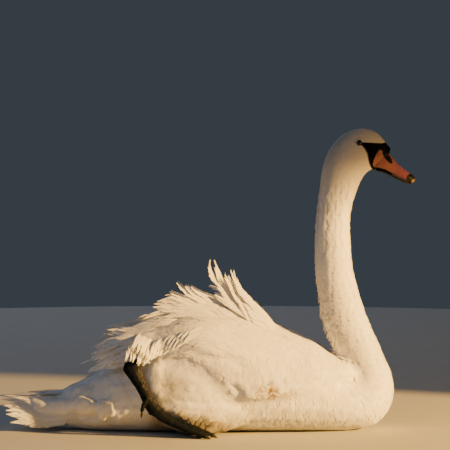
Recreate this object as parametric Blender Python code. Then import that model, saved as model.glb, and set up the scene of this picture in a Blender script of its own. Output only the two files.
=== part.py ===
"""A mute swan resting on its belly with its neck raised, as a life-size still model.

The swan faces +X and rests on the plane z = 0, with its plane of symmetry at y = 0. The trunk, neck and
head are one sweep of egg-shaped sections that is parted by thin flat cuts. Wings and thighs are shells laid
over the trunk, and the long feathers of the wings and the tail are thin blades fanned out from them.
Sizes in the tables below are in millimetres.
"""

import math

import bmesh
import bpy
from mathutils import Vector

MM = 0.001
GAP = 0.3            # clearance between pieces that touch
RIGHT, LEFT = -1, 1  # the sign of y on each side of the bird

# Sections of the body, each one cut square to it: where it meets the back (x, z), where it meets the
# underside (x, z), half its width, and how far down it is widest as a share of its height.
TRUNK_SECTIONS = [
    (-310, 77, -310, 12, 44, 0.55),   # root of the tail
    (-264, 102, -264, 1, 66, 0.57),   # rump
    (-211, 128, -211, -4, 90, 0.58),
    (-138, 165, -138, -7, 111, 0.60),
    (-54, 190, -54, -8, 123, 0.60),
    (41, 202, 41, -8, 127, 0.60),     # the broadest part of the body
    (135, 194, 135, -8, 121, 0.58),
    (219, 166, 228, -7, 108, 0.56),
    (262, 141, 297, -3, 96, 0.54),
    (287, 127, 356, 9, 83, 0.52),     # breast
    (299, 122, 386, 39, 71, 0.50),
    (303, 127, 398, 77, 61, 0.50),
    (297, 141, 391, 117, 53, 0.50),   # root of the neck
]
NECK_SECTIONS = [
    (279, 155, 375, 157, 47, 0.50),
    (263, 184, 358, 197, 43.5, 0.50),
    (249, 221, 341, 234, 41, 0.50),
    (237, 267, 326, 278, 39, 0.50),
    (231, 314, 314, 319, 37, 0.50),
    (229, 360, 307, 361, 35.5, 0.50),
    (229, 402, 304, 402, 33.5, 0.50),
    (231, 440, 303, 440, 32, 0.50),
    (234, 472, 307, 470, 31.5, 0.50),
]
HEAD_SECTIONS = [
    (238.5, 507, 319, 507, 31.5, 0.50),   # nape and throat
    (243.5, 542, 329, 529, 31.5, 0.52),
    (251.5, 573, 338, 541, 31.5, 0.55),
    (268, 603, 343, 545, 31, 0.58),     # cheeks
    (294, 626, 346, 546, 29.5, 0.58),
    (326, 634.5, 348, 547, 27, 0.56),   # crown and eyes
    (353, 629, 350, 547.5, 23.5, 0.55),
    (370.5, 615, 352, 548, 19.8, 0.58),
    (381, 601, 353.5, 548.5, 17.4, 0.60),   # brow, where the bill starts
]
BODY_SECTIONS = TRUNK_SECTIONS + NECK_SECTIONS + HEAD_SECTIONS
NECK_ROOT = len(TRUNK_SECTIONS)
HEAD_ROOT = NECK_ROOT + len(NECK_SECTIONS)
FACE_ROOT = HEAD_ROOT + 4      # the part of the head that the bill is cut clear of
NECK_CUTS = (NECK_ROOT + 3, NECK_ROOT + 6)
RINGS_PER_SECTION = 2
BODY_SIDES = 18

# Bill: the same kind of section, from the face to the tip.
UPPER_BILL_SECTIONS = [
    (379.5, 589.5, 355, 549.5, 17.4, 0.80),
    (386.5, 579.5, 364, 548.5, 17.3, 0.82),
    (394.5, 571, 376, 545.5, 16.8, 0.82),
    (403, 559.5, 388.5, 539, 16.3, 0.80),
    (415, 549.5, 402, 532, 16.8, 0.78),
    (425.5, 542, 414.5, 526.5, 17.3, 0.76),
    (433, 536.5, 424.5, 522, 15.6, 0.72),
    (436.5, 531.5, 431, 519, 10.5, 0.66),
    (437.5, 526.5, 435.2, 519.5, 4.5, 0.60),
]
LOWER_BILL_SECTIONS = [
    (356.5, 548.2, 358, 545.2, 13.5, 0.35),
    (365, 547.2, 366, 543.2, 14.0, 0.35),
    (377, 544, 376.5, 539.8, 13.8, 0.35),
    (389.5, 537.6, 389, 533.6, 13.5, 0.35),
    (403, 530.6, 402.5, 527, 13.5, 0.35),
    (415.5, 525, 415, 521.8, 13.0, 0.35),
    (425, 520.7, 424.5, 518, 10.5, 0.35),
    (430, 518.2, 429.6, 516.5, 6.0, 0.35),
]
BILL_SIDES = 14
KNOB_CENTRE = (379.5, 0, 590.0)       # the fleshy knob over the base of the bill
KNOB_RADII = (9.6, 9.0, 9.0)
NAIL_CENTRE = (429.5, 0, 530.5)       # the horny shield at the tip of the bill
NAIL_RADII = (12.0, 8.5, 7.5)
BILL_SLOPE = math.radians(38)         # how far the tip of the bill points below the horizon

EYE_CENTRE = (322, 21.2, 605)
EYE_RADIUS = 6.6

# Folded wing: x, height of its top, height of its lower edge, half-width of the bird over it.
WING_SECTIONS = [
    (312, 128, 118, 56),    # shoulder, sunk in the breast
    (296, 145, 124, 80),
    (272, 159, 117, 96),
    (235, 184, 104, 114),
    (190, 207, 92, 127),
    (135, 232, 86, 137),
    (92, 248, 89, 142),
    (58, 257, 102, 142),
    (30, 261, 130, 140),
    (0, 261, 154, 137),
    (-40, 255, 168, 130),
    (-95, 238, 168, 114),
    (-140, 221, 164, 94),
    (-172, 208, 166, 73),
    (-198, 194, 170, 55),
]
WING_POINTS = 8
WING_STEPS = 2
WING_ROUNDNESS = 0.9       # under 1 makes the section squarer than an ellipse
WING_LIP = (7, 6)          # how far the lower edge turns inwards, and down
WING_GROOVE = 9            # how much lower the wing is where it meets the other one along the back
WING_GROOVE_WIDTH = 22

# Feathered thigh and flank: x, centre y, centre z, half-width, half-height.
THIGH_SECTIONS = [
    (-132, 104, 108, 8, 20),
    (-112, 104, 100, 22, 52),
    (-72, 101, 90, 36, 76),
    (-30, 98, 82, 43, 84),
    (15, 96, 72, 42, 72),
    (58, 95, 60, 34, 46),
    (96, 93, 56, 22, 28),
    (122, 91, 56, 10, 12),
]
THIGH_STEPS = 2
THIGH_SIDES = 12

# Bare leg, folded: x, y, z, radius along the bird, radius across it.
SHANK_SECTIONS = [
    (-160, 122, 156, 8, 7),     # top of the hock
    (-156, 124, 148, 15, 11),
    (-148, 128, 134, 15.5, 11),
    (-134, 133, 109, 14, 9),
    (-124, 138, 90, 14, 9),
    (-113, 142, 70, 14.5, 9.5),
    (-103, 144.5, 55, 14.5, 10.5),
]
SHANK_SIDES = 10
# Front toes: the middle line from the ankle to the claw (x, y, z, radius), and how many degrees the
# section leans at each of those places.
TOES = {
    "inner": [(-102.2, 138.2, 54.2, 11), (-87, 136.5, 41, 10.5), (-64, 131, 30, 8.5),
              (-34, 127, 18, 6.5), (-4, 125, 4.8, 5)],
    "middle": [(-102.2, 144.9, 54.2, 14), (-86, 144, 42, 12.5), (-62, 142.5, 32, 10),
               (-24, 143, 20, 7.5), (16, 144, 4.8, 5)],
    "outer": [(-102.2, 151.6, 54.2, 11), (-87, 151.5, 41, 10), (-64, 153, 29, 8),
              (-32, 160, 16, 6.5), (2, 167, 4.8, 5)],
}
TOE_LEANS = [56, 34, 20, 14, 0]
HIND_TOE = [(-119, 147, 84, 5), (-128, 149, 69, 4.8), (-131, 150, 54, 3.8)]
TOE_SIDES = 8
TOE_SHOULDER = (0.55, 0.84)   # where a toe's top turns down, as shares of its half-width and radius
WEB_HALF_THICKNESS = 1.1
CLAW_LENGTH = 11
CLAW_DROP = 2.5
CLAW_SIDES = 6
CLAW_RINGS = [(-0.3, 0.8), (0.55, 0.58), (1, 0.14)]   # shares of the length and of the toe's radius

# Long feathers: middle line points (x, y, z) from root to tip, and the greatest width. The plumes stand
# up from a low mound of small feathers (centre, radii), which holds their roots together.
FRONT_MOUND = ((66, 47, 240), (42, 22, 25))
REAR_MOUND = ((-6, 58, 242), (34, 22, 16))
LEFT_PLUME_DROP = 6      # the left plumes are held a little lower than the right ones
FRONT_PLUMES = [
    ([(78, 46, 222), (46, 47, 268), (20, 48, 305), (9, 50, 336), (11, 52, 357)], 22),
    ([(84, 40, 222), (56, 40, 270), (33, 41, 306), (20, 42, 335), (18, 43, 359)], 21),
    ([(92, 52, 222), (66, 53, 268), (48, 54, 300), (38, 55, 331)], 21),
    ([(124, 40, 218), (94, 39, 255), (71, 37, 296), (58, 35, 335)], 22),
    ([(68, 58, 220), (38, 61, 258), (6, 63, 296)], 23),
]
REAR_PLUMES = [
    ([(24, 49, 218), (-8, 49, 262), (-38, 48, 288), (-61, 47, 308)], 20),
    ([(20, 56, 212), (-24, 58, 256), (-58, 58, 277), (-87, 58, 279)], 22),
    ([(14, 62, 206), (-36, 64, 244), (-74, 64, 258), (-110, 63, 262)], 25),
    ([(8, 66, 212), (-24, 68, 246), (-66, 71, 246), (-100, 72, 241)], 26),
]
FLIGHT_FEATHERS = [
    ([(-60, 62, 200), (-110, 56, 219), (-160, 48, 214), (-208, 38, 208)], 30),
    ([(-60, 70, 192), (-115, 64, 212), (-165, 55, 206), (-214, 45, 199)], 30),
    ([(-60, 78, 185), (-120, 73, 203), (-172, 62, 196), (-227, 50, 187)], 31),
    ([(-60, 86, 178), (-125, 82, 193), (-178, 71, 186), (-230, 56, 171)], 31),
    ([(-70, 92, 168), (-135, 87, 182), (-200, 70, 166), (-261, 48, 138)], 28),
    ([(-70, 97, 166), (-135, 91, 171), (-196, 74, 154), (-245, 54, 126)], 28),
]
FLIGHT_SPLIT = 3    # the ring past which the flight feathers come apart
TAIL_FEATHERS = [
    ([(-316, 6, 60), (-370, 8, 69), (-438, 10, 69)], 24),
    ([(-316, 17, 57), (-367, 23, 65), (-428, 32, 61)], 24),
    ([(-313, 26, 51), (-364, 35, 56), (-418, 47, 50)], 24),
    ([(-310, 33, 43), (-359, 44, 44), (-412, 58, 38)], 22),
    ([(-308, 37, 34), (-354, 50, 32), (-408, 67, 25)], 17),
]
TAIL_SPLIT = 3
TAIL_COVERT_SECTIONS = [
    (-310.3, 77, -310.3, 12, 44, 0.55),
    (-328, 76, -326, 13, 46, 0.62),
    (-346, 75, -342, 17, 46, 0.70),
    (-362, 74, -356, 26, 42, 0.80),
    (-373, 72, -366, 38, 30, 0.80),
]
QUILL_THICKNESS = 1.8
VANE_EDGE_SHARE = 0.6      # thickness of a fan's feather at its edges, as a share of the quill's
FEATHER_RINGS = 6
FEATHER_ROOT_WIDTH = 0.45  # width at the root, as a share of the greatest
TAPER_START = 0.55         # past this share of its length a feather narrows
TAPER_LOSS = 0.88
TIP_WIDTH = 0.12
PLUME_TILT = 0.35          # how far the plumes' flat sides turn up
NEIGHBOUR_SHARE = 0.47     # neighbours reach almost half-way to each other, so they never touch

BALL_SEGMENTS = 10
BALL_RINGS = 6
SHARP_ANGLE = math.radians(40)

MATERIALS = {
    # name: (colour, roughness)
    "white_feather": ((0.86, 0.83, 0.77), 0.75),
    "head_feather": ((0.80, 0.74, 0.64), 0.75),
    "orange_horn": ((0.66, 0.22, 0.10), 0.40),
    "black_horn": ((0.02, 0.02, 0.02), 0.40),
    "dark_eye": ((0.015, 0.01, 0.01), 0.08),
    "grey_leg": ((0.07, 0.06, 0.055), 0.55),
}


def clear_scene():
    for thing in list(bpy.data.objects):
        bpy.data.objects.remove(thing)


def named_collection(name):
    collection = bpy.data.collections.new(name)
    bpy.context.scene.collection.children.link(collection)
    return collection


def make_material(name):
    colour, roughness = MATERIALS[name]
    material = bpy.data.materials.new(name)
    material.use_nodes = True
    shader = material.node_tree.nodes["Principled BSDF"]
    shader.inputs["Base Color"].default_value = (*colour, 1)
    shader.inputs["Roughness"].default_value = roughness
    return material


class Swan:
    """Holds the two collections and the materials while the bird is put together."""

    def __init__(self):
        self.parts = named_collection("mute_swan")
        self.helpers = named_collection("cutters")
        self.materials = {name: make_material(name) for name in MATERIALS}

    def add(self, name, mesh, material):
        """A sub-part of the bird, from a mesh in millimetres."""
        thing = self._place(name, mesh, self.parts)
        mesh.materials.append(self.materials[material])
        return thing

    def cutter(self, name, mesh):
        """A hidden shape that is only taken away from, or added to, a sub-part."""
        thing = self._place(name, mesh, self.helpers)
        thing.hide_render = True
        thing.display_type = "WIRE"
        return thing

    def _place(self, name, mesh, collection):
        for vertex in mesh.vertices:
            vertex.co *= MM
        mesh.shade_smooth()
        mesh.set_sharp_from_angle(angle=SHARP_ANGLE)
        thing = bpy.data.objects.new(name, mesh)
        collection.objects.link(thing)
        return thing


def boolean(thing, operation, others):
    for other in others:
        modifier = thing.modifiers.new(f"{operation.lower()}_{other.name}", "BOOLEAN")
        modifier.operation = operation
        modifier.object = other
    return thing


def curved(rows, steps):
    """Rows of numbers with steps - 1 more between each two, on a Catmull-Rom curve through them."""
    out = []
    for i in range(len(rows) - 1):
        before = rows[max(i - 1, 0)]
        here, there = rows[i], rows[i + 1]
        after = rows[min(i + 2, len(rows) - 1)]
        for step in range(steps):
            t = step / steps
            out.append(tuple(
                0.5 * (2 * b + (c - a) * t + (2 * a - 5 * b + 4 * c - d) * t * t
                       + (3 * b - a - 3 * c + d) * t ** 3)
                for a, b, c, d in zip(before, here, there, after)
            ))
    out.append(tuple(rows[-1]))
    return out


def egg_ring(section, sides, grow=0.0):
    """A flat egg-shaped ring from the back, down the left side, to the underside and up the right."""
    back_x, back_z, under_x, under_z, half_width, widest = section
    back = Vector((back_x, 0, back_z))
    down = Vector((under_x, 0, under_z)) - back
    height = down.length
    down.normalize()
    ring = []
    for i in range(sides):
        angle = math.tau * i / sides
        share = widest if math.cos(angle) > 0 else 1 - widest
        depth = height * widest - (height * share + grow) * math.cos(angle)
        across = (half_width + grow) * math.sin(angle)
        ring.append(back + down * depth + Vector((0, across, 0)))
    return ring


def loft(name, rings, floor=None):
    """A closed mesh through rings of equal length. Points under the floor are raised to it."""
    shape = bmesh.new()
    rows = []
    for ring in rings:
        if floor is not None:
            ring = [Vector((p.x, p.y, max(p.z, floor))) for p in ring]
        rows.append([shape.verts.new(point) for point in ring])
    count = len(rows[0])
    for row, following in zip(rows, rows[1:]):
        for i in range(count):
            j = (i + 1) % count
            shape.faces.new((row[i], row[j], following[j], following[i]))
    for row in (rows[0], rows[-1]):  # each end is closed by a ladder of faces
        for i in range((count - 1) // 2):
            j = count - 1 - i
            shape.faces.new((row[i], row[i + 1], row[j - 1], row[j]) if j - i > 2 else row[i:j + 1])
    bmesh.ops.triangulate(shape, faces=shape.faces)
    bmesh.ops.recalc_face_normals(shape, faces=shape.faces)
    mesh = bpy.data.meshes.new(name)
    shape.to_mesh(mesh)
    shape.free()
    return mesh


def ellipsoid(name, centre, radii, pitch=0.0, grow=0.0):
    shape = bmesh.new()
    bmesh.ops.create_uvsphere(shape, u_segments=BALL_SEGMENTS, v_segments=BALL_RINGS, radius=1)
    bmesh.ops.triangulate(shape, faces=shape.faces)
    for vertex in shape.verts:
        x, y, z = (c * (r + grow) for c, r in zip(vertex.co, radii))
        vertex.co = Vector((
            x * math.cos(pitch) + z * math.sin(pitch), y, z * math.cos(pitch) - x * math.sin(pitch)
        )) + Vector(centre)
    mesh = bpy.data.meshes.new(name)
    shape.to_mesh(mesh)
    shape.free()
    return mesh


def tube_ring(centre, along, radius_side, radius_across, sides, across=Vector((0, 1, 0))):
    """An oval ring round a middle line: one radius lies across, the other square to it."""
    across = (across - along * across.dot(along)).normalized()
    up = along.cross(across)
    return [
        centre + up * radius_side * math.cos(math.tau * i / sides)
        + across * radius_across * math.sin(math.tau * i / sides)
        for i in range(sides)
    ]


def tube(name, rows, sides, grow=0.0, floor=None):
    """A tube through rows of (x, y, z, radius) or (x, y, z, radius along, radius across)."""
    points = [Vector(row[:3]) for row in rows]
    rings = []
    for i, row in enumerate(rows):
        along = (points[min(i + 1, len(rows) - 1)] - points[max(i - 1, 0)]).normalized()
        rings.append(tube_ring(points[i], along, row[3] + grow, row[-1] + grow, sides))
    return loft(name, rings, floor)


def on_side(row, side):
    """A row whose second number is y, moved to one side of the bird."""
    return (row[0], row[1] * side, *row[2:])


def body_rings(first, last, grow=0.0):
    """Rings of the body from one section to another, counted in BODY_SECTIONS."""
    sections = curved(BODY_SECTIONS, RINGS_PER_SECTION)
    chosen = sections[first * RINGS_PER_SECTION:last * RINGS_PER_SECTION + 1]
    return [egg_ring(section, BODY_SIDES, grow) for section in chosen]


def nudged(ring, towards):
    """A ring moved by the gap, square to itself, towards another ring."""
    normal = (ring[BODY_SIDES // 4] - ring[0]).cross(ring[BODY_SIDES // 2] - ring[0]).normalized()
    if normal.dot(towards[0] - ring[0]) < 0:
        normal.negate()
    return [point + normal * GAP for point in ring]


def add_body(swan):
    """Trunk, three lengths of neck, and the head with its eye sockets."""
    cuts = [
        ("trunk", 0, NECK_ROOT, "white_feather"),
        ("neck_lower", NECK_ROOT, NECK_CUTS[0], "white_feather"),
        ("neck_middle", *NECK_CUTS, "white_feather"),
        ("neck_upper", NECK_CUTS[1], HEAD_ROOT, "head_feather"),
        ("head", HEAD_ROOT, len(BODY_SECTIONS) - 1, "head_feather"),
    ]
    made = {}
    for name, first, last, material in cuts:
        rings = body_rings(first, last)
        if first:
            rings[0] = nudged(rings[0], rings[1])
        floor = 0 if name == "trunk" else None
        made[name] = swan.add(name, loft(name, rings, floor), material)
    sockets = [
        swan.cutter(f"socket_{side}", eye_mesh(f"socket_{side}", sign, GAP))
        for side, sign in (("right", RIGHT), ("left", LEFT))
    ]
    boolean(made["head"], "DIFFERENCE", sockets)
    return made


def eye_mesh(name, side, grow=0.0):
    return ellipsoid(name, on_side(EYE_CENTRE, side), (EYE_RADIUS,) * 3, grow=grow)


def add_bill(swan):
    upper = [egg_ring(row, BILL_SIDES) for row in UPPER_BILL_SECTIONS]
    upper_grown = [egg_ring(row, BILL_SIDES, GAP) for row in UPPER_BILL_SECTIONS]
    lower = [egg_ring(row, BILL_SIDES) for row in LOWER_BILL_SECTIONS]
    swan.add("bill_upper", loft("bill_upper", upper), "orange_horn")
    keep_upper = swan.cutter("upper_bill_room", loft("upper_bill_room", upper_grown))
    keep_head = swan.cutter(
        "face_room", loft("face_room", body_rings(FACE_ROOT, len(BODY_SECTIONS) - 1, GAP))
    )
    lower_bill = swan.add("bill_lower", loft("bill_lower", lower), "black_horn")
    boolean(lower_bill, "DIFFERENCE", [keep_upper, keep_head])
    knob = swan.add("bill_knob", ellipsoid("bill_knob", KNOB_CENTRE, KNOB_RADII), "black_horn")
    boolean(knob, "DIFFERENCE", [keep_upper, keep_head])
    nail_mesh = ellipsoid("bill_nail", NAIL_CENTRE, NAIL_RADII, BILL_SLOPE)
    boolean(swan.add("bill_nail", nail_mesh, "black_horn"), "DIFFERENCE", [keep_upper])


def trunk_room(swan):
    """The trunk grown by the gap, which shells laid over it are cut by."""
    return swan.cutter("trunk_room", loft("trunk_room", body_rings(0, NECK_ROOT, GAP), -GAP))


def wing_ring(section, side, grow):
    """Half a section of the bird with folded wings: over the back, down to the wing's lower edge."""
    x, top, edge, half_width = section
    top, half_width, edge = top + grow, half_width + grow, edge - grow
    ring = []
    for i in range(WING_POINTS):
        angle = math.pi / 2 * i / (WING_POINTS - 1)
        y = half_width * math.sin(angle) ** WING_ROUNDNESS
        z = edge + (top - edge) * math.cos(angle) ** WING_ROUNDNESS
        z -= WING_GROOVE * math.exp(-((y / WING_GROOVE_WIDTH) ** 2))
        ring.append((x, max(y, GAP / 2), z))
    lip_in, lip_down = WING_LIP
    ring.append((x, half_width - lip_in, edge - lip_down))
    ring.append((x, GAP / 2, edge - lip_down))
    return [Vector(on_side(point, side)) for point in ring]


def wing_mesh(name, side, grow=0.0):
    sections = curved(WING_SECTIONS, WING_STEPS)
    return loft(name, [wing_ring(section, side, grow) for section in sections])


def thigh_mesh(name, side, grow=0.0):
    rings = []
    for x, y, z, half_width, half_height in curved(THIGH_SECTIONS, THIGH_STEPS):
        rings.append([
            Vector((
                x,
                side * (y + (half_width + grow) * math.sin(math.tau * i / THIGH_SIDES)),
                z + (half_height + grow) * math.cos(math.tau * i / THIGH_SIDES),
            ))
            for i in range(THIGH_SIDES)
        ])
    return loft(name, rings, -grow)


def feather_line(middle, side):
    """Evenly spaced points along the middle of a feather."""
    points = curved([on_side(point, side) for point in middle], FEATHER_RINGS - 1)
    last = len(points) - 1
    return [Vector(points[round(i * last / (FEATHER_RINGS - 1))]) for i in range(FEATHER_RINGS)]


def direction(points, i):
    """The unit direction of a row of points at one of them."""
    return (points[min(i + 1, len(points) - 1)] - points[max(i - 1, 0)]).normalized()


def blade(name, line, facings, width):
    """A thin vane, widest past its middle, with a raised shaft line and a blunt tip."""
    rings = []
    for i, (point, facing) in enumerate(zip(line, facings)):
        t = i / (FEATHER_RINGS - 1)
        along = direction(line, i)
        across = along.cross(facing).normalized()
        out = across.cross(along)
        swell = FEATHER_ROOT_WIDTH + (1 - FEATHER_ROOT_WIDTH) * math.sin(math.pi * t * 0.75)
        half = width / 2 * swell * feather_taper(t)
        rings.append([
            point + across * half,
            point + out * QUILL_THICKNESS / 2,
            point - across * half,
            point - out * QUILL_THICKNESS / 2,
        ])
    return loft(name, rings)


def feather_taper(t):
    """Full width along most of a feather, narrowing quickly at the end."""
    return max(1 - (max(t - TAPER_START, 0) / (1 - TAPER_START)) ** 2 * TAPER_LOSS, TIP_WIDTH)


def plume_meshes(name, feathers, mound, side):
    """Feathers that stand up, flat sides to the side of the bird, and the mound at their roots."""
    facings = [Vector((0, side, PLUME_TILT)).normalized()] * FEATHER_RINGS
    drop = Vector((0, 0, LEFT_PLUME_DROP if side == LEFT else 0))
    lines = [[point - drop for point in feather_line(middle, side)] for middle, _ in feathers]
    meshes = [
        blade(f"{name}_{i}", line, facings, width)
        for i, (line, (_, width)) in enumerate(zip(lines, feathers))
    ]
    centre, radii = mound
    return [ellipsoid(f"{name}_mound", on_side(centre, side), radii), *meshes]


def fan_mesh(name, lines, widths, split):
    """Feathers side by side over a curved surface: joined at their edges up to one ring, free past it."""
    count = len(lines)
    thick = QUILL_THICKNESS / 2
    shape = bmesh.new()
    rows = []   # per ring and feather: both edges (top and bottom) and the shaft (top and bottom)
    for i in range(FEATHER_RINGS):
        row = []
        for n, line in enumerate(lines):
            before, after = lines[max(n - 1, 0)], lines[min(n + 1, count - 1)]
            facing = direction(line, i).cross(after[i] - before[i]).normalized()
            across = facing.cross(direction(line, i)).normalized()
            half = widths[n] / 2 * feather_taper(i / (FEATHER_RINGS - 1))
            near, far = (
                half if other is line else min(half, (line[i] - other[i]).length * NEIGHBOUR_SHARE)
                for other in (before, after)
            )
            row.append([
                pair_of_points(shape, line[i] - across * near, facing, thick * VANE_EDGE_SHARE),
                pair_of_points(shape, line[i], facing, thick),
                pair_of_points(shape, line[i] + across * far, facing, thick * VANE_EDGE_SHARE),
            ])
        for n in range(count - 1):
            if i <= split:
                shared, dropped = row[n][2], row[n + 1][0]
                for kept, gone in zip(shared, dropped):
                    kept.co = (kept.co + gone.co) / 2
                    shape.verts.remove(gone)
                row[n + 1][0] = shared
        rows.append(row)
    for i, row in enumerate(rows):
        for n, columns in enumerate(row):
            if i in (0, FEATHER_RINGS - 1):
                for (top, bottom), (next_top, next_bottom) in zip(columns, columns[1:]):
                    shape.faces.new((top, next_top, next_bottom, bottom))
            if i == FEATHER_RINGS - 1:
                continue
            onward = rows[i + 1][n]
            for level in (0, 1):
                for a, b in ((0, 1), (1, 2)):
                    corners = columns[a], columns[b], onward[b], onward[a]
                    shape.faces.new([corner[level] for corner in corners])
            for side, outermost in ((0, n == 0), (2, n == count - 1)):
                if outermost or i >= split:
                    shape.faces.new((*columns[side], *onward[side][::-1]))
    bmesh.ops.triangulate(shape, faces=shape.faces)
    bmesh.ops.recalc_face_normals(shape, faces=shape.faces)
    mesh = bpy.data.meshes.new(name)
    shape.to_mesh(mesh)
    shape.free()
    return mesh


def pair_of_points(shape, point, facing, half):
    return [shape.verts.new(point + facing * half), shape.verts.new(point - facing * half)]


def add_fan(swan, name, meshes, rooms):
    """Meshes joined into one sub-part and cut clear of what they grow from."""
    fan = swan.add(name, meshes[0], "white_feather")
    others = [swan.cutter(f"{name}_blade_{i}", mesh) for i, mesh in enumerate(meshes[1:], 1)]
    boolean(fan, "UNION", others)
    return boolean(fan, "DIFFERENCE", rooms)


def add_wings(swan, trunk):
    """Each wing laid over the trunk with its long feathers; returns the wings grown by the gap."""
    rooms = {}
    for name, side in (("right", RIGHT), ("left", LEFT)):
        wing = swan.add(f"wing_{name}", wing_mesh(f"wing_{name}", side), "white_feather")
        boolean(wing, "DIFFERENCE", [trunk])
        room = swan.cutter(f"wing_room_{name}", wing_mesh(f"wing_room_{name}", side, GAP))
        thigh_room = swan.cutter(f"thigh_room_{name}", thigh_mesh(f"thigh_room_{name}", side, GAP))
        for fan, feathers, mound in (
            ("plume_front", FRONT_PLUMES, FRONT_MOUND),
            ("plume_rear", REAR_PLUMES, REAR_MOUND),
        ):
            meshes = plume_meshes(f"{fan}_{name}", feathers, mound, side)
            add_fan(swan, f"{fan}_{name}", meshes, [room, trunk])
        lines = [feather_line(middle, side) for middle, _ in FLIGHT_FEATHERS]
        widths = [width for _, width in FLIGHT_FEATHERS]
        flight = fan_mesh(f"flight_feathers_{name}", lines, widths, FLIGHT_SPLIT)
        add_fan(swan, f"flight_feathers_{name}", [flight], [room, trunk, thigh_room])
        rooms[side] = room
    return rooms


def add_tail(swan, trunk):
    coverts = [egg_ring(row, BODY_SIDES) for row in curved(TAIL_COVERT_SECTIONS, 2)]
    swan.add("tail_coverts", loft("tail_coverts", coverts, 0), "white_feather")
    room = [egg_ring(row, BODY_SIDES, GAP) for row in curved(TAIL_COVERT_SECTIONS, 2)]
    coverts_room = swan.cutter("coverts_room", loft("coverts_room", room, -GAP))
    right = [feather_line(middle, RIGHT) for middle, _ in TAIL_FEATHERS[::-1]]
    left = [feather_line(middle, LEFT) for middle, _ in TAIL_FEATHERS]
    widths = [width for _, width in (*TAIL_FEATHERS[::-1], *TAIL_FEATHERS)]
    tail = fan_mesh("tail_feathers", right + left, widths, TAIL_SPLIT)
    add_fan(swan, "tail_feathers", [tail], [coverts_room, trunk])


def foot_mesh(name, side, grow=0.0):
    """Three toes and the webs between them as one loft from the ankle to the claws."""
    toes = [[on_side(row, side) for row in rows] for rows in TOES.values()]
    rings = []
    for i, lean in enumerate(TOE_LEANS):
        up = Vector((math.sin(math.radians(lean)), 0, math.cos(math.radians(lean))))
        centres = [Vector(toe[i][:3]) for toe in toes]
        top, bottom = [], []
        for n, toe in enumerate(toes):
            room = min((centres[n] - other).length for m, other in enumerate(centres) if m != n)
            radius = toe[i][3]
            wide = min(radius, room * NEIGHBOUR_SHARE) + grow
            radius += grow
            web = WEB_HALF_THICKNESS + grow
            across = Vector((0, side * wide, 0))
            shoulder, rise = TOE_SHOULDER
            for share, height in (
                (-1, web), (-shoulder, radius * rise), (shoulder, radius * rise), (1, web)
            ):
                top.append(centres[n] + across * share + up * height)
                bottom.append(centres[n] + across * share - up * height)
        rings.append(top + bottom[::-1])
    return loft(name, rings, -grow)


def claw_mesh(name, rows, side):
    """A curved claw that goes on from the last two points of a toe."""
    before, last = (Vector(on_side(row, side)[:3]) for row in rows[-2:])
    along = (last - before).normalized()
    radius = rows[-1][3]
    points = []
    for share, size in CLAW_RINGS:
        centre = last + along * CLAW_LENGTH * share
        centre.z -= CLAW_DROP * share ** 2
        points.append((*centre, radius * size))
    return tube(name, points, CLAW_SIDES, floor=0)


def add_legs(swan, trunk, wing_rooms):
    for name, side in (("right", RIGHT), ("left", LEFT)):
        shank_rows = [on_side(row, side) for row in SHANK_SECTIONS]
        shank = swan.add(f"shank_{name}", tube(f"shank_{name}", shank_rows, SHANK_SIDES), "grey_leg")
        hind_rows = curved([on_side(row, side) for row in HIND_TOE], 2)
        hind = tube(f"hind_toe_{name}", hind_rows, TOE_SIDES)
        boolean(shank, "UNION", [swan.cutter(f"hind_toe_{name}", hind)])
        shank_room = tube(f"shank_room_{name}", shank_rows, SHANK_SIDES, GAP)
        hind_room = tube(f"hind_room_{name}", hind_rows, TOE_SIDES, GAP)
        shank_room = swan.cutter(f"shank_room_{name}", shank_room)
        hind_room = swan.cutter(f"hind_room_{name}", hind_room)
        boolean(shank, "DIFFERENCE", [trunk, wing_rooms[side]])
        foot = swan.add(f"foot_{name}", foot_mesh(f"foot_{name}", side), "grey_leg")
        boolean(foot, "DIFFERENCE", [shank_room, hind_room])
        foot_room = swan.cutter(f"foot_room_{name}", foot_mesh(f"foot_room_{name}", side, GAP))
        for toe, rows in (*TOES.items(), ("hind", HIND_TOE)):
            claw = f"claw_{toe}_{name}"
            nail = swan.add(claw, claw_mesh(claw, curved(rows, 2), side), "black_horn")
            boolean(nail, "DIFFERENCE", [hind_room, foot_room])
        thigh = swan.add(f"thigh_{name}", thigh_mesh(f"thigh_{name}", side), "white_feather")
        boolean(thigh, "DIFFERENCE", [trunk, wing_rooms[side], shank_room, hind_room, foot_room])


def main():
    clear_scene()
    swan = Swan()
    add_body(swan)
    add_bill(swan)
    for name, side in (("right", RIGHT), ("left", LEFT)):
        swan.add(f"eye_{name}", eye_mesh(f"eye_{name}", side), "dark_eye")
    trunk = trunk_room(swan)
    wing_rooms = add_wings(swan, trunk)
    add_tail(swan, trunk)
    add_legs(swan, trunk, wing_rooms)


main()
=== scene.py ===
import math
from itertools import product

import bmesh
import bpy
import numpy as np
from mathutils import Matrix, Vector
from mathutils.bvhtree import BVHTree


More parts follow.
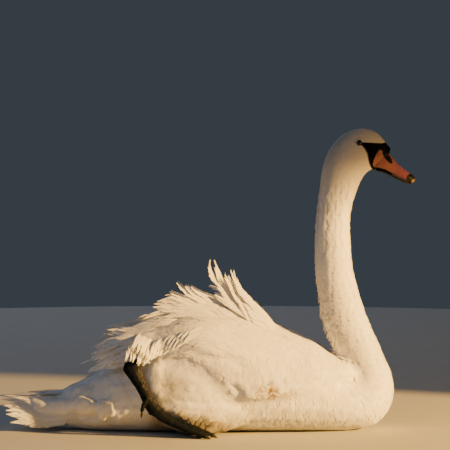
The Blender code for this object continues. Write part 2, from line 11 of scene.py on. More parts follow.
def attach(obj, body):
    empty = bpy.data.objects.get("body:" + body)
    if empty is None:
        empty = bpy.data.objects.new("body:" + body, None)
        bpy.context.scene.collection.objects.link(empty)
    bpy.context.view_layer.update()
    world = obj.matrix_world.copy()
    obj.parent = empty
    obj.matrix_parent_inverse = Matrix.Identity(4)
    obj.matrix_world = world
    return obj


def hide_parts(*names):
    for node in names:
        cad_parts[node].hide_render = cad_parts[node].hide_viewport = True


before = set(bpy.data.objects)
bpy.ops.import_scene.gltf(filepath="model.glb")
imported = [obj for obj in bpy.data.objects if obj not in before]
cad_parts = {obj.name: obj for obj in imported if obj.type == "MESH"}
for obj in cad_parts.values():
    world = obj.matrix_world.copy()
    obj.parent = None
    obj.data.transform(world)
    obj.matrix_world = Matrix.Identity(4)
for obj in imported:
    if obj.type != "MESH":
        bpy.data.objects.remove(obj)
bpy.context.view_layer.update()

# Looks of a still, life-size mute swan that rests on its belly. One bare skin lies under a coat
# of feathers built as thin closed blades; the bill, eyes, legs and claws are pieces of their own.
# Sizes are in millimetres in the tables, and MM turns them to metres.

MM = 0.001
BODY = "root"
RIGHT, LEFT = -1, 1
SIDES = {"right": RIGHT, "left": LEFT}
FLOOR_GAP = 0.4 * MM

# ---- places on the bird ----

# Middle of the body from the brow to the tail, as x and z.
SPINE = np.array([
    (372, 583), (345, 588), (318, 585), (296, 566), (284, 540), (278, 507), (268.5, 472),
    (267, 440), (266.5, 402), (268, 360), (272.5, 316), (281.5, 272), (295, 227.5), (310.5, 190.5),
    (327, 156), (344, 129), (350.5, 102.5), (342.5, 80.5), (321.5, 68), (279.5, 69),
    (223.5, 79.5), (135, 93), (41, 97), (-54, 91), (-138, 79), (-211, 62), (-264, 51.5),
    (-310, 47), (-370, 55), (-440, 60),
]) * MM

EYE = np.array([322, 21.2, 605]) * MM
EYE_RADIUS = 6.6 * MM
EYE_OPENING = 4.0 * MM
GAZE = np.array([0.12, 1, 0.06])           # the way the left eye looks: out and a little forward
WRIST = np.array([340, 0, 100]) * MM      # the front of the folded wing, where its coverts fan from

# Horn of the upper bill as x and z: its plates reach back over the face, below the knob.
HORN = np.array([
    (363.5, 590.5), (356.5, 579.5), (352, 569), (350, 560.5), (352, 554), (356, 545), (380, 520),
    (450, 500), (450, 560), (400, 582), (382, 586.5),
]) * MM
KNOB = np.array([379.5, 0, 590]) * MM
KNOB_RADIUS = 9.6 * MM

# Bare black skin of the face, as x and z from the eye to the bill.
MASK = np.array([
    (316, 605), (323, 607.5), (345, 606), (368, 604), (395, 606), (395, 536), (372, 539),
    (356, 543), (348.5, 549), (344, 558), (341.5, 566), (340, 574), (338, 583), (333, 592.5),
    (326.5, 600), (318, 602.5),
]) * MM

# Stretches of the bird's side as ovals: their middle and half-sizes, in x and z.
# The flank oval marks dirt on the flank together with painted shade, which darkens it as if in shadow.
SOILED_SHADED_FLANK = np.array([(-55, 105), (75, 50)]) * MM
UPPER_FLANK = np.array([(0, 120), (140, 75)]) * MM
WING_FRONT = np.array([(295, 110), (55, 50)]) * MM
NAIL = np.array([(431.5, 530.5), (12, 9.5)]) * MM
WORN_TIP = np.array([(436, 523), (5.5, 5.5)]) * MM

FLESH = [
    "trunk", "neck_lower", "neck_middle", "neck_upper", "head", "tail_coverts",
    *(f"{part}_{side}" for part, side in product(("wing", "thigh"), SIDES)),
]


# ---- sums on points ----

def ramp(values, start, end):
    """0 before start, 1 past end, smooth between them."""
    t = np.clip((np.asarray(values) - start) / (end - start), 0, 1)
    return t * t * (3 - 2 * t)


def fall(values, start, end):
    """1 before start, 0 past end, smooth between them."""
    return ramp(-np.asarray(values), -end, -start)


def band(values, start, full, late, end):
    """1 from full to late, 0 before start and past end, smooth between them."""
    return ramp(values, start, full) * fall(values, late, end)


def lengths(vectors):
    return np.linalg.norm(vectors, axis=-1)


def unit(vectors):
    """The same vectors with length 1."""
    return vectors / np.maximum(lengths(vectors)[..., None], 1e-12)


def dot(a, b):
    return (a * b).sum(-1, keepdims=True)


def mixed(a, b, share):
    """From a, at share 0, to b, at share 1."""
    return a + (b - a) * share


def oval(points, middle, halves):
    """How far points are from the middle of an oval in x and z: 1 on its rim."""
    return np.hypot((points[:, 0] - middle[0]) / halves[0], (points[:, 2] - middle[1]) / halves[1])


def inside_outline(points, outline, soft):
    """How far points in x and z lie inside an outline: 1 well inside, 0 outside, over a soft edge."""
    inside = np.zeros(len(points), bool)
    nearest = np.full(len(points), 1e9)
    for a, b in zip(outline, np.roll(outline, -1, axis=0)):
        crosses = (a[1] > points[:, 1]) != (b[1] > points[:, 1])
        with np.errstate(divide="ignore", invalid="ignore"):
            at = (b[0] - a[0]) * (points[:, 1] - a[1]) / (b[1] - a[1]) + a[0]
        inside ^= crosses & (points[:, 0] < at)
        t = np.clip(((points - a) @ (b - a)) / ((b - a) @ (b - a)), 0, 1)
        nearest = np.minimum(nearest, lengths(points - a - t[:, None] * (b - a)))
    return ramp(np.where(inside, nearest, -nearest), -soft, soft)


def curve(rows, count):
    """Evenly spaced points on a smooth curve through rows of numbers."""
    rows = np.asarray(rows, float)
    ends = np.vstack([2 * rows[0] - rows[1], rows, 2 * rows[-1] - rows[-2]])
    made = []
    for a, b, c, d in zip(ends, ends[1:], ends[2:], ends[3:]):
        for t in np.arange(20) / 20:
            made.append(0.5 * (
                2 * b + (c - a) * t + (2 * a - 5 * b + 4 * c - d) * t**2
                + (3 * b - a - 3 * c + d) * t**3
            ))
    made = np.array([*made, rows[-1]])
    run = np.r_[0, np.cumsum(lengths(np.diff(made, axis=0)))]
    at = np.linspace(0, run[-1], count)
    return np.stack([np.interp(at, run, column) for column in made.T], axis=1)


SPINE_STEPS = SPINE[1:] - SPINE[:-1]
SPINE_LENGTHS = lengths(SPINE_STEPS)
SPINE_WAYS = unit(SPINE_STEPS)


def away_from_spine(points):
    """How far each point is from the middle of each step of the spine, seen from the side."""
    return lengths(points[:, None, (0, 2)] - (SPINE[1:] + SPINE[:-1]) / 2)


def lie_of_body(points):
    """The way feathers point on head, neck and trunk: along the body, from the bill to the tail."""
    away = away_from_spine(points)
    weight = np.exp(-(away - away.min(1, keepdims=True)) / (24 * MM))
    flow = (weight @ SPINE_WAYS) / weight.sum(1, keepdims=True)
    return np.stack([flow[:, 0], 0 * flow[:, 0], flow[:, 1]], axis=1)


def unwrapped(points):
    """Places on a map of the skin: the angle round the body by its length from brow to tail."""
    near = away_from_spine(points).argmin(1)
    along = SPINE_WAYS[near]
    off = points[:, (0, 2)] - SPINE[near]
    t = np.clip((off * along).sum(1) / SPINE_LENGTHS[near], 0, 1)
    above = off[:, 1] * along[:, 0] - off[:, 0] * along[:, 1]
    angle = np.arctan2(points[:, 1], -above)
    run = np.r_[0, np.cumsum(SPINE_LENGTHS)]
    length = mixed(run[near], run[near + 1], t) / run[-1]
    return 0.03 + 0.94 * np.stack([angle / math.tau + 0.5, length], axis=1)


# ---- markings, the same on skin and coat ----

def wobble(points, size):
    """A smooth, uneven value about -1 to 1 that changes over a size."""
    p = points / size
    return (
        np.sin(p[:, 0] * 2.1 + 1.7 * np.sin(p[:, 2] * 1.3 + 0.4))
        + np.sin(p[:, 2] * 2.7 + 1.9 * np.sin(p[:, 1] * 1.1 + 2.1))
        + np.sin(p[:, 1] * 2.3 + 1.5 * np.sin(p[:, 0] * 1.7 + 5.2))
    ) / 3


def damp(points):
    """Where the lower flank feathers are wet and stuck in clumps, from 0 to 1."""
    x, y, z = points.T
    low = np.interp(x, [-0.10, -0.04, 0.06, 0.10], [0.055, 0.050, 0.022, 0.015])
    wet = fall(z, low, low + 0.012) * band(x, -0.11, -0.08, 0.05, 0.10)
    return wet * ramp(np.abs(y), 0.05, 0.08)


def markings(points):
    """Bare black face, rusty head, soiled belly, a flank patch of dirt and painted shade, and stained wing
    edge, each from 0 to 1.
    """
    x, y, z = points.T
    bare = inside_outline(points[:, (0, 2)], MASK, 1.2 * MM)
    bare = np.maximum(bare, fall(np.hypot(x - EYE[0], z - EYE[2]), 5.3 * MM, 6.3 * MM))
    rust = ramp(z + 14 * MM * wobble(points, 25 * MM), 0.43, 0.60)
    rust = np.maximum(rust, 1.2 * damp(points))
    low = fall(z - 16 * MM * wobble(points, 30 * MM), 0.004, 0.062)
    belly = low * mixed(0.35, 1, band(x, -0.16, -0.06, 0.04, 0.15)) * ramp(np.abs(y), 0.02, 0.07)
    # The flank patch is partly dirt and partly painted shade.
    flank = fall(oval(points, *SOILED_SHADED_FLANK), 0.2, 1)
    flank = flank * (0.65 + 0.35 * wobble(points * (0.4, 1, 1), 12 * MM))
    stain = np.hypot((x - 0.148) / 0.052, (z - 0.094 + 0.12 * (x - 0.148)) / 0.022)
    stain = fall(stain - 0.35 * wobble(points, 12 * MM), 0.1, 1) * np.where(y < 0, 1, 0.35)
    soil_and_shade = np.clip(np.maximum(belly, flank), 0, 1)
    return {"bare": bare, "rust": rust, "soil_and_shade": soil_and_shade, "stain": np.clip(stain, 0, 1)}


# ---- materials ----

def srgb(code):
    """Linear colour of an sRGB hex value."""
    parts = [int(code[i:i + 2], 16) / 255 for i in (1, 3, 5)]
    return (*(c / 12.92 if c <= 0.04045 else ((c + 0.055) / 1.055) ** 2.4 for c in parts), 1.0)


def add(tree, kind, inputs=(), **settings):
    """Adds a node with its settings, its values and its links."""
    made = tree.nodes.new(kind)
    for name, value in settings.items():
        setattr(made, name, value)
    for socket, value in dict(inputs).items():
        if isinstance(value, bpy.types.NodeSocket):
            tree.links.new(value, made.inputs[socket])
        else:
            made.inputs[socket].default_value = value
    return made


def blended(tree, base, top, share):
    """Colour top laid over colour base by a share; each may be a hex value or a socket."""
    base, top = (srgb(color) if isinstance(color, str) else color for color in (base, top))
    return add(tree, "ShaderNodeMix", {0: share, 6: base, 7: top}, data_type="RGBA").outputs[2]


def ranged(tree, value, low, high, to_low=0.0, to_high=1.0):
    """A value from low to high turned into one from to_low to to_high."""
    limits = {0: value, 1: low, 2: high, 3: to_low, 4: to_high}
    return add(tree, "ShaderNodeMapRange", limits).outputs[0]


def sums(tree, operation, *values):
    """ADD or MULTIPLY on numbers and sockets."""
    return add(tree, "ShaderNodeMath", dict(enumerate(values)), operation=operation).outputs[0]


def own(tree, name):
    """A named number that the mesh holds at each of its points."""
    return add(tree, "ShaderNodeAttribute", attribute_name=name).outputs["Fac"]


def mapped(tree, tilt=0, **inputs):
    """Places on the object, tilted about y by degrees, and moved or scaled."""
    values = {"Vector": add(tree, "ShaderNodeTexCoord").outputs["Object"], **inputs}
    values["Rotation"] = (0, math.radians(tilt), 0)
    return add(tree, "ShaderNodeMapping", values).outputs["Vector"]


def noise(tree, size, detail=3.0, where=None):
    """Noise whose lumps are about size millimetres across."""
    where = where or add(tree, "ShaderNodeTexCoord").outputs["Object"]
    values = {"Vector": where, "Scale": 1 / (size * MM), "Detail": detail}
    return add(tree, "ShaderNodeTexNoise", values).outputs["Fac"]


def mottled(tree, one, other, size, detail=4):
    """Two colours in soft lumps about size millimetres across."""
    return blended(tree, one, other, noise(tree, size, detail))


def new_material(name, **inputs):
    """A material with a surface shader whose plain values are set on its own sockets."""
    material = bpy.data.materials.new(name)
    material.use_nodes = True
    shader = material.node_tree.nodes["Principled BSDF"]
    for socket, value in inputs.items():
        shader.inputs[socket.replace("_", " ")].default_value = value
    return material, material.node_tree


def finished(material, color, height, depth, strength, rough=None):
    """Wires colour, bump (depth in mm) and roughness into the material's surface shader."""
    tree = material.node_tree
    shader = tree.nodes["Principled BSDF"]
    bump = add(tree, "ShaderNodeBump", {"Strength": strength, "Distance": depth * MM, "Height": height})
    tree.links.new(color, shader.inputs["Base Color"])
    tree.links.new(bump.outputs["Normal"], shader.inputs["Normal"])
    if rough is not None:
        tree.links.new(rough, shader.inputs["Roughness"])
    return material


def marked(tree, color):
    """The bird's markings laid over a plain feather or skin colour; the soil mark also carries painted shade
    on the flank.
    """
    patchy = noise(tree, 9, 4)
    spots = ranged(tree, noise(tree, 6), 0.40, 0.56, 0.35, 1.0)
    for name, pale, dark, strength in (
        ("rust", "#c2ab86", "#9c8362", 0.62),
        # Grey-brown soil, which on the flank is also painted shade.
        ("soil_and_shade", "#82796a", "#5f574a", 0.75),
        ("stain", "#a47c38", "#4e3412", spots),
    ):
        share = sums(tree, "MULTIPLY", own(tree, name), strength)
        color = blended(tree, color, blended(tree, pale, dark, patchy), share)
    return color


def feather_material():
    """White contour feathers: soft keratin barbs, warm white, matt with a faint silky sheen."""
    material, tree = new_material(
        "white_feather_keratin", Roughness=0.72, IOR=1.54, Sheen_Weight=0.15, Sheen_Roughness=0.6)
    warm = blended(tree, "#f3eee6", "#fffdf8", own(tree, "tone"))
    cloud = ranged(tree, noise(tree, 38), 0.45, 0.75, 0, 0.35)
    color = marked(tree, blended(tree, warm, "#e9dfd0", cloud))
    # Barbs are 0.3 mm apart, drawn 1 mm apart so that they show.
    return finished(material, color, noise(tree, 1.0, 2), 0.2, 0.35)


def skin_material():
    """Bare skin: pale pink-white under the coat; black, leathery and finely creased on the face."""
    material, tree = new_material("bare_skin", Roughness=0.6, IOR=1.4, Specular_IOR_Level=0.06)
    plain = marked(tree, mottled(tree, "#efe6da", "#dccbb8", 12))
    bare = own(tree, "bare")
    color = blended(tree, plain, mottled(tree, "#010102", "#06070a", 3, 5), bare)
    return finished(material, color, noise(tree, 1.2, 5), 0.25, 0.5, ranged(tree, bare, 0, 1, 0.75, 0.5))


def horn_material():
    """Bill horn: hard smooth keratin, orange to rose-red towards the tip, with black edges."""
    material, tree = new_material(
        "bill_horn_keratin", Roughness=0.4, IOR=1.45, Specular_IOR_Level=0.3)
    color = mottled(tree, "#a3685c", "#7d5049", 6)
    for name, one, other, size, detail in (
        ("tipward", "#8d5161", "#6e404e", 4, 4),
        ("black", "#040404", "#0d0c0c", 2.5, 4),
        ("pale", "#a58a66", "#7d684d", 2, 3),
    ):
        color = blended(tree, color, mottled(tree, one, other, size, detail), own(tree, name))
    # Growth lines run along the horn, about 3.5 mm apart and much broken up.
    lines = add(tree, "ShaderNodeTexWave", {
        "Vector": mapped(tree, -38), "Scale": 90.0, "Distortion": 6.0, "Detail": 3.0,
        "Detail Scale": 2.0,
    }, bands_direction="Z").outputs["Fac"]
    rough = ranged(tree, noise(tree, 2, 5), 0.35, 0.7, 0.26, 0.5)
    rough = sums(tree, "ADD", rough, sums(tree, "MULTIPLY", own(tree, "black"), 0.2))
    return finished(material, color, lines, 0.12, 0.25, rough)


def eye_material():
    """A wet dark eye: black pupil in a deep brown iris behind a clear, polished cornea."""
    material, tree = new_material(
        "wet_eye", Roughness=0.08, IOR=1.38, Coat_Weight=1.0, Coat_Roughness=0.02, Coat_IOR=1.38)
    place = mapped(tree, Location=(-EYE[0], 0, -EYE[2]), Scale=(1, 0, 1))
    away = add(tree, "ShaderNodeVectorMath", {0: place}, operation="LENGTH").outputs["Value"]
    iris = mottled(tree, "#2a170c", "#140b07", 0.7)
    color = blended(tree, "#020202", iris, ranged(tree, away, 2.2 * MM, 2.6 * MM))
    color = blended(tree, color, "#060505", ranged(tree, away, 4.2 * MM, 4.8 * MM))
    tree.links.new(color, tree.nodes["Principled BSDF"].inputs["Base Color"])
    return material


def leg_material():
    """Leg skin: dry scales and web, blue-black with a greyer, streaky shank front, quite matt."""
    material, tree = new_material("scaled_leg_skin", IOR=1.4, Specular_IOR_Level=0.12)
    scales = add(tree, "ShaderNodeTexVoronoi", {
        "Vector": add(tree, "ShaderNodeTexCoord").outputs["Object"],
        "Scale": 1 / (2.3 * MM), "Randomness": 0.85,
    }, feature="DISTANCE_TO_EDGE").outputs["Distance"]
    joints = ranged(tree, scales, 0.0, 0.16)
    streaks = ranged(tree, noise(tree, 3, 4, mapped(tree, -29, Scale=(1, 1, 0.25))), 0.38, 0.62)
    front = blended(tree, "#191a20", "#4a4750", streaks)
    color = blended(tree, mottled(tree, "#07090f", "#1d2430", 6), front, own(tree, "brown"))
    color = blended(tree, blended(tree, color, "#0a0a0b", 0.6), color, joints)
    height = sums(tree, "ADD", joints, sums(tree, "MULTIPLY", noise(tree, 1.5, 4), 0.5))
    rough = ranged(tree, noise(tree, 4, 4), 0.3, 0.7, 0.5, 0.75)
    return finished(material, color, height, 0.25, 0.45, rough)


def claw_material():
    """Claw horn: black keratin, mottled a little paler, and duller here and there."""
    material, tree = new_material("claw_horn_keratin", Roughness=0.4, IOR=1.54)
    rough = ranged(tree, noise(tree, 2, 4), 0.3, 0.7, 0.3, 0.6)
    color = mottled(tree, "#0d0c0c", "#2c2723", 3)
    return finished(material, color, noise(tree, 0.8, 4), 0.15, 0.4, rough)


def floor_material():
    """Studio floor: matt pale painted board with a faint mottling."""
    material, tree = new_material("painted_board", Roughness=0.85)
    return finished(material, mottled(tree, "#c2bfb8", "#cdcac3", 60, 5), noise(tree, 2, 4), 0.2, 0.2)


MATERIALS = {
    "feather": feather_material(),
    "skin": skin_material(),
    "horn": horn_material(),
    "eye": eye_material(),
    "leg": leg_material(),
    "claw": claw_material(),
    "floor": floor_material(),
}


# ---- meshes ----

def deselect():
    for thing in bpy.context.selected_objects:
        thing.select_set(False)


def placed(name, mesh):
    """Puts a mesh in the scene as a piece that rides on the body."""
    thing = bpy.data.objects.new(name, mesh)
    bpy.context.scene.collection.objects.link(thing)
    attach(thing, BODY)
    return thing


def dressed(thing, material, replaces=(), smooth=True):
    """Gives a piece its material and slot, and hides the solids that it stands for."""
    thing.data.materials.append(MATERIALS[material])
    if smooth:
        thing.data.shade_smooth()
    if replaces:
        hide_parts(*replaces)


def applied(thing, kind, **settings):
    """Adds a modifier to a piece and applies it."""
    deselect()
    thing.select_set(True)
    bpy.context.view_layer.objects.active = thing
    modifier = thing.modifiers.new(kind.lower(), kind)
    for name, value in settings.items():
        setattr(modifier, name, value)
    bpy.ops.object.modifier_apply(modifier=modifier.name)


def read(rows, field, width, kind=np.float32):
    """A field of each corner, edge or triangle of a mesh, as rows of numbers."""
    found = np.empty(len(rows) * width, kind)
    rows.foreach_get(field, found)
    return found.reshape(-1, width)


def read_points(mesh):
    return read(mesh.vertices, "co", 3).astype(float)


def read_normals(mesh):
    return read(mesh.vertex_normals, "vector", 3).astype(float)


def read_edges(mesh):
    return read(mesh.edges, "vertices", 2, np.int32)


def read_triangles(mesh):
    mesh.calc_loop_triangles()
    return read(mesh.loop_triangles, "vertices", 3, np.int32)


def write_points(mesh, points):
    mesh.vertices.foreach_set("co", np.ascontiguousarray(points, np.float32).ravel())
    mesh.update()


def write_values(mesh, **values):
    """Gives the mesh named numbers, one for each of its points, which materials read."""
    for name, numbers in values.items():
        numbers = np.broadcast_to(np.asarray(numbers, np.float32), len(mesh.vertices))
        layer = mesh.attributes.new(name, "FLOAT", "POINT")
        layer.data.foreach_set("value", np.ascontiguousarray(numbers))


def relaxed(values, edges, rounds, share=0.5):
    """Values at the corners of a mesh, each drawn a few times towards the mean of its neighbours."""
    count = np.maximum(np.bincount(edges.ravel(), minlength=len(values)), 1)
    for _ in range(rounds):
        total = np.stack([
            np.bincount(edges[:, 0], column[edges[:, 1]], len(values))
            + np.bincount(edges[:, 1], column[edges[:, 0]], len(values))
            for column in values.T
        ], axis=1)
        values = values + share * (total / count[:, None] - values)
    return values


def smoothed(thing, rounds, share=1.0):
    """Draws a piece's points a few times towards the mean of their neighbours and returns them."""
    points = read_points(thing.data)
    points = mixed(points, relaxed(points, read_edges(thing.data), rounds), share)
    write_points(thing.data, points)
    return points


def shell(name, nodes, voxel, grow=0.35 * MM, more=None):
    """Several solids remade as one closed surface, a little grown so that their gaps close."""
    whole = bmesh.new()
    parts = [more] if more else []
    for node in nodes:
        part = bmesh.new()
        part.from_mesh(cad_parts[node].data)
        bmesh.ops.remove_doubles(part, verts=part.verts, dist=0.001 * MM)
        parts.append(part)
    for part in parts:
        part.normal_update()
        for corner in part.verts:
            corner.co += corner.normal * grow
        piece = bpy.data.meshes.new("part")
        part.to_mesh(piece)
        part.free()
        whole.from_mesh(piece)
        bpy.data.meshes.remove(piece)
    mesh = bpy.data.meshes.new(name)
    whole.to_mesh(mesh)
    whole.free()
    thing = placed(name, mesh)
    applied(thing, "REMESH", mode="VOXEL", voxel_size=voxel)
    return thing


def closed_up(thing, reach, voxel):
    """Fills the grooves of a closed surface that are narrower than twice a reach, a rule on points."""
    for way in (1, -1):
        points = read_points(thing.data)
        normals = unit(relaxed(read_normals(thing.data), read_edges(thing.data), 2))
        write_points(thing.data, points + way * normals * reach(points)[:, None])
        if way == 1:
            applied(thing, "REMESH", mode="VOXEL", voxel_size=voxel)


def refined(thing, chosen):
    """Splits the faces whose middles a rule chooses, for finer shape there."""
    mesh = bmesh.new()
    mesh.from_mesh(thing.data)
    middles = np.array([face.calc_center_median() for face in mesh.faces])
    edges = {edge for face, keep in zip(mesh.faces, chosen(middles)) if keep for edge in face.edges}
    bmesh.ops.subdivide_edges(mesh, edges=list(edges), cuts=1, use_grid_fill=True, smooth=1.0)
    mesh.to_mesh(thing.data)
    mesh.free()


class Surface:
    """A closed surface that feathers are laid on: nearest places, with smooth normals."""

    def __init__(self, mesh):
        points, triangles = read_points(mesh), read_triangles(mesh)
        self.corners = points[triangles]
        self.middles = self.corners.mean(1)
        normals = relaxed(read_normals(mesh), read_edges(mesh), 4)
        self.normals = unit(normals[triangles].mean(1))
        a, b, c = self.corners.transpose(1, 0, 2)
        self.areas = lengths(np.cross(b - a, c - a)) / 2
        self.tree = BVHTree.FromPolygons(points.tolist(), triangles.tolist())

    def nearest(self, points):
        found = [self.tree.find_nearest(point) for point in points.tolist()]
        return np.array([f[0] for f in found]), self.normals[[f[2] for f in found]]


# ---- blades: every feather, tuft and barb is made of these ----

END, BORDER_A, RIDGE, BORDER_B = range(4)      # the kinds of a blade's corners
PATCH = 0.003                                  # size of a blade's patch on the map of the skin


class Coat:
    """Thin closed blades gathered into one mesh. Each blade is three-sided: a flat underside and
    a low ridge on top, from a point at its root to a point at its tip."""

    MARKS = ("rust", "soil_and_shade", "stain", "tone")

    def __init__(self, name, soil_and_shade_share=1.0):
        self.name = name
        self.soil_and_shade_share = soil_and_shade_share
        self.points, self.faces, self.maps, self.values, self.kinds = [], [], [], [], []
        self.count = 0

    def lay(self, line, normal, half, thick, roots, tone, over=0.0):
        """Adds blades. line and normal are (blades, rings + 2, 3), and half the width and the height
        of the ridge, thick, are (blades, rings)."""
        many, rings = half.shape
        along = np.gradient(line, axis=1)
        side = unit(np.cross(along, normal))
        up = unit(np.cross(side, along))
        body = line[:, 1:-1]
        reach = side[:, 1:-1] * half[..., None]
        corners = np.stack([body - reach, body + up[:, 1:-1] * thick[..., None], body + reach], axis=2)
        points = np.concatenate([line[:, :1], corners.reshape(many, -1, 3), line[:, -1:]], axis=1)
        points[..., 2] = np.maximum(points[..., 2], FLOOR_GAP)
        tip = rings * 3 + 1
        faces = [(0, 2, 1), (0, 3, 2), (0, 1, 3)]
        for a in range(1, tip - 3, 3):
            for m, n in ((a, a + 1), (a + 1, a + 2), (a + 2, a)):
                faces += [(m, n, n + 3), (m, n + 3, m + 3)]
        faces += [(tip, tip - 3, tip - 2), (tip, tip - 2, tip - 1), (tip, tip - 1, tip - 3)]
        start = self.count + np.arange(many)[:, None, None] * (tip + 1)
        self.faces.append((np.array(faces) + start).reshape(-1, 3))
        self.count += many * (tip + 1)
        self.points.append(points.reshape(-1, 3))
        self.kinds.append(np.tile([END, *([BORDER_A, RIDGE, BORDER_B] * rings), END], many))
        across = np.array([0.5, *([0.35, 0.5, 0.65] * rings), 0.5]) + over
        ahead = np.array([0.0, *np.repeat(np.linspace(0.2, 0.8, rings), 3), 1.0])
        patch = PATCH * np.clip(np.stack([across, ahead], axis=1) - 0.5, -0.5, 0.5)
        self.maps.append((unwrapped(roots)[:, None] + patch).reshape(-1, 2))
        marks = {**markings(roots), "tone": tone}
        # Each coat takes its own share of the soil mark, with the flank's painted shade in it.
        marks["soil_and_shade"] = marks["soil_and_shade"] * self.soil_and_shade_share
        self.values.append({name: np.repeat(marks[name], tip + 1) for name in self.MARKS})

    def made(self, slot="white_feather", replaces=()):
        """The finished piece."""
        faces = np.concatenate(self.faces)
        mesh = bpy.data.meshes.new(self.name)
        mesh.from_pydata(np.concatenate(self.points), (), faces, shade_flat=False)
        # A blade's borders are sharp, and its ridge is smooth.
        kinds = np.sort(np.concatenate(self.kinds)[read_edges(mesh)], axis=1)
        border = (kinds[:, 0] == kinds[:, 1]) & (kinds[:, 0] != RIDGE)
        border |= (kinds[:, 0] == END) & (kinds[:, 1] != RIDGE)
        mesh.attributes.new("sharp_edge", "BOOLEAN", "EDGE").data.foreach_set("value", border)
        layer = mesh.uv_layers.new(name="OFBake")
        places = np.concatenate(self.maps)[faces.ravel()]
        layer.data.foreach_set("uv", places.astype(np.float32).ravel())
        for name in self.MARKS:
            write_values(mesh, **{name: np.concatenate([values[name] for values in self.values])})
        dressed(placed(self.name, mesh), "feather", replaces, smooth=False)


def traced(surface, starts, ways, runs):
    """Lines laid over the surface from each start, each straight on in its own way for its run."""
    steps = 5
    place, normal = surface.nearest(starts)
    way = unit(ways - dot(ways, normal) * normal)
    line, normals = [place], [normal]
    for _ in range(steps):
        place, normal = surface.nearest(place + way * (runs / steps)[:, None])
        way = unit(way - dot(way, normal) * normal)
        line.append(place)
        normals.append(normal)
    return np.stack(line, axis=1), np.stack(normals, axis=1)


def sampled(lines, shares):
    """Lines of equal steps read at shares of their length; shares is (lines, places)."""
    at = np.clip(shares, 0, 1) * (lines.shape[1] - 1)
    low = np.minimum(at.astype(int), lines.shape[1] - 2)
    part = (at - low)[..., None]
    rows = np.arange(len(lines))[:, None]
    return lines[rows, low] * (1 - part) + lines[rows, low + 1] * part


def scattered(surface, keep, spacing, random):
    """Even but irregular places on the chosen faces, about spacing apart."""
    chance = surface.areas / spacing**2 * keep
    tries = int(chance.sum() * 2.4)      # more than there is room for, so that few gaps stay
    faces = random.choice(len(chance), tries, p=chance / chance.sum())
    u, v = random.random((2, tries, 1))
    u, v = np.where(u + v > 1, 1 - u, u), np.where(u + v > 1, 1 - v, v)
    a, b, c = surface.corners[faces].transpose(1, 0, 2)
    places = a + u * (b - a) + v * (c - a)
    apart = spacing[faces] * 0.84
    around = list(product((-1, 0, 1), repeat=3))
    cells, kept = {}, []
    keys = np.floor(places / apart.max()).astype(int).tolist()
    for i, (key, place, least) in enumerate(zip(keys, places.tolist(), (apart**2).tolist())):
        near = (cells.get((key[0] + i0, key[1] + i1, key[2] + i2), ()) for i0, i1, i2 in around)
        if all(
            (place[0] - q[0]) ** 2 + (place[1] - q[1]) ** 2 + (place[2] - q[2]) ** 2 > least
            for group in near for q in group
        ):
            cells.setdefault(tuple(key), []).append(place)
            kept.append(i)
    return places[kept]


RISE = 0.7 * MM      # how far a feather's end lies over its root, which keeps the rows in order
TIP_DIP = 0.25 * MM  # how far its tip dips to the feathers under it, so that no step shows


def tufts(coat, surface, places, ways, length, width, strips, rings, lift, random):
    """Lays one feather at each place: a fan of overlapping strips that rises from the skin to the
    top of the coat, its strips ending unevenly so that the feather's edge is soft."""
    many = len(places)
    depth = coat_depth(places)[:, None]
    line, normal = traced(surface, places, ways, length * random.uniform(0.85, 1.15, many))
    side = unit(np.cross(np.gradient(line, axis=1), normal))
    base_tone = random.uniform(0, 1, many)
    # A strip is widest a little past its middle, and the strips of a fan overlap.
    shape = np.sin(np.linspace(0.3, 0.8, rings) * math.pi) ** 0.7
    overlap = 2.3 if strips > 1 else 1.0
    half = width[:, None] / 2 / strips * overlap * shape
    thick = half * 0.016 + 0.045 * MM
    for i in range(strips):
        off = (i + 0.5) / strips * 2 - 1
        reach = (1 - 0.3 * off**2) * random.uniform(0.9, 1, many)
        shares = np.r_[0, np.linspace(0.3, 0.93, rings), 1] * reach[:, None]
        spread = np.sin(np.minimum(shares + 0.25, 0.75) * math.pi * 0.9) * 1.05
        aside = off * (1 - 1 / strips) + random.normal(0, 0.06, many)
        run = sampled(line, shares) + (
            sampled(side, shares) * (aside * width / 2)[:, None, None] * spread[..., None])
        here = sampled(normal, shares)
        if strips > 1:
            run, here = (v.reshape(run.shape) for v in surface.nearest(run.reshape(-1, 3)))
        sunk = (1 - ramp(shares, -0.1, 0.45)) * (depth - RISE) + (1 - shares) * RISE
        height = lift[:, None] * shares**2 - sunk + random.normal(0, 0.03 * MM, many)[:, None]
        height = height - TIP_DIP * ramp(shares, 0.65, 1.0)
        tone = np.clip(base_tone + random.normal(0, 0.12, many), 0, 1)
        coat.lay(run + here * height[..., None], here, half, thick, places, tone, off * 0.3)


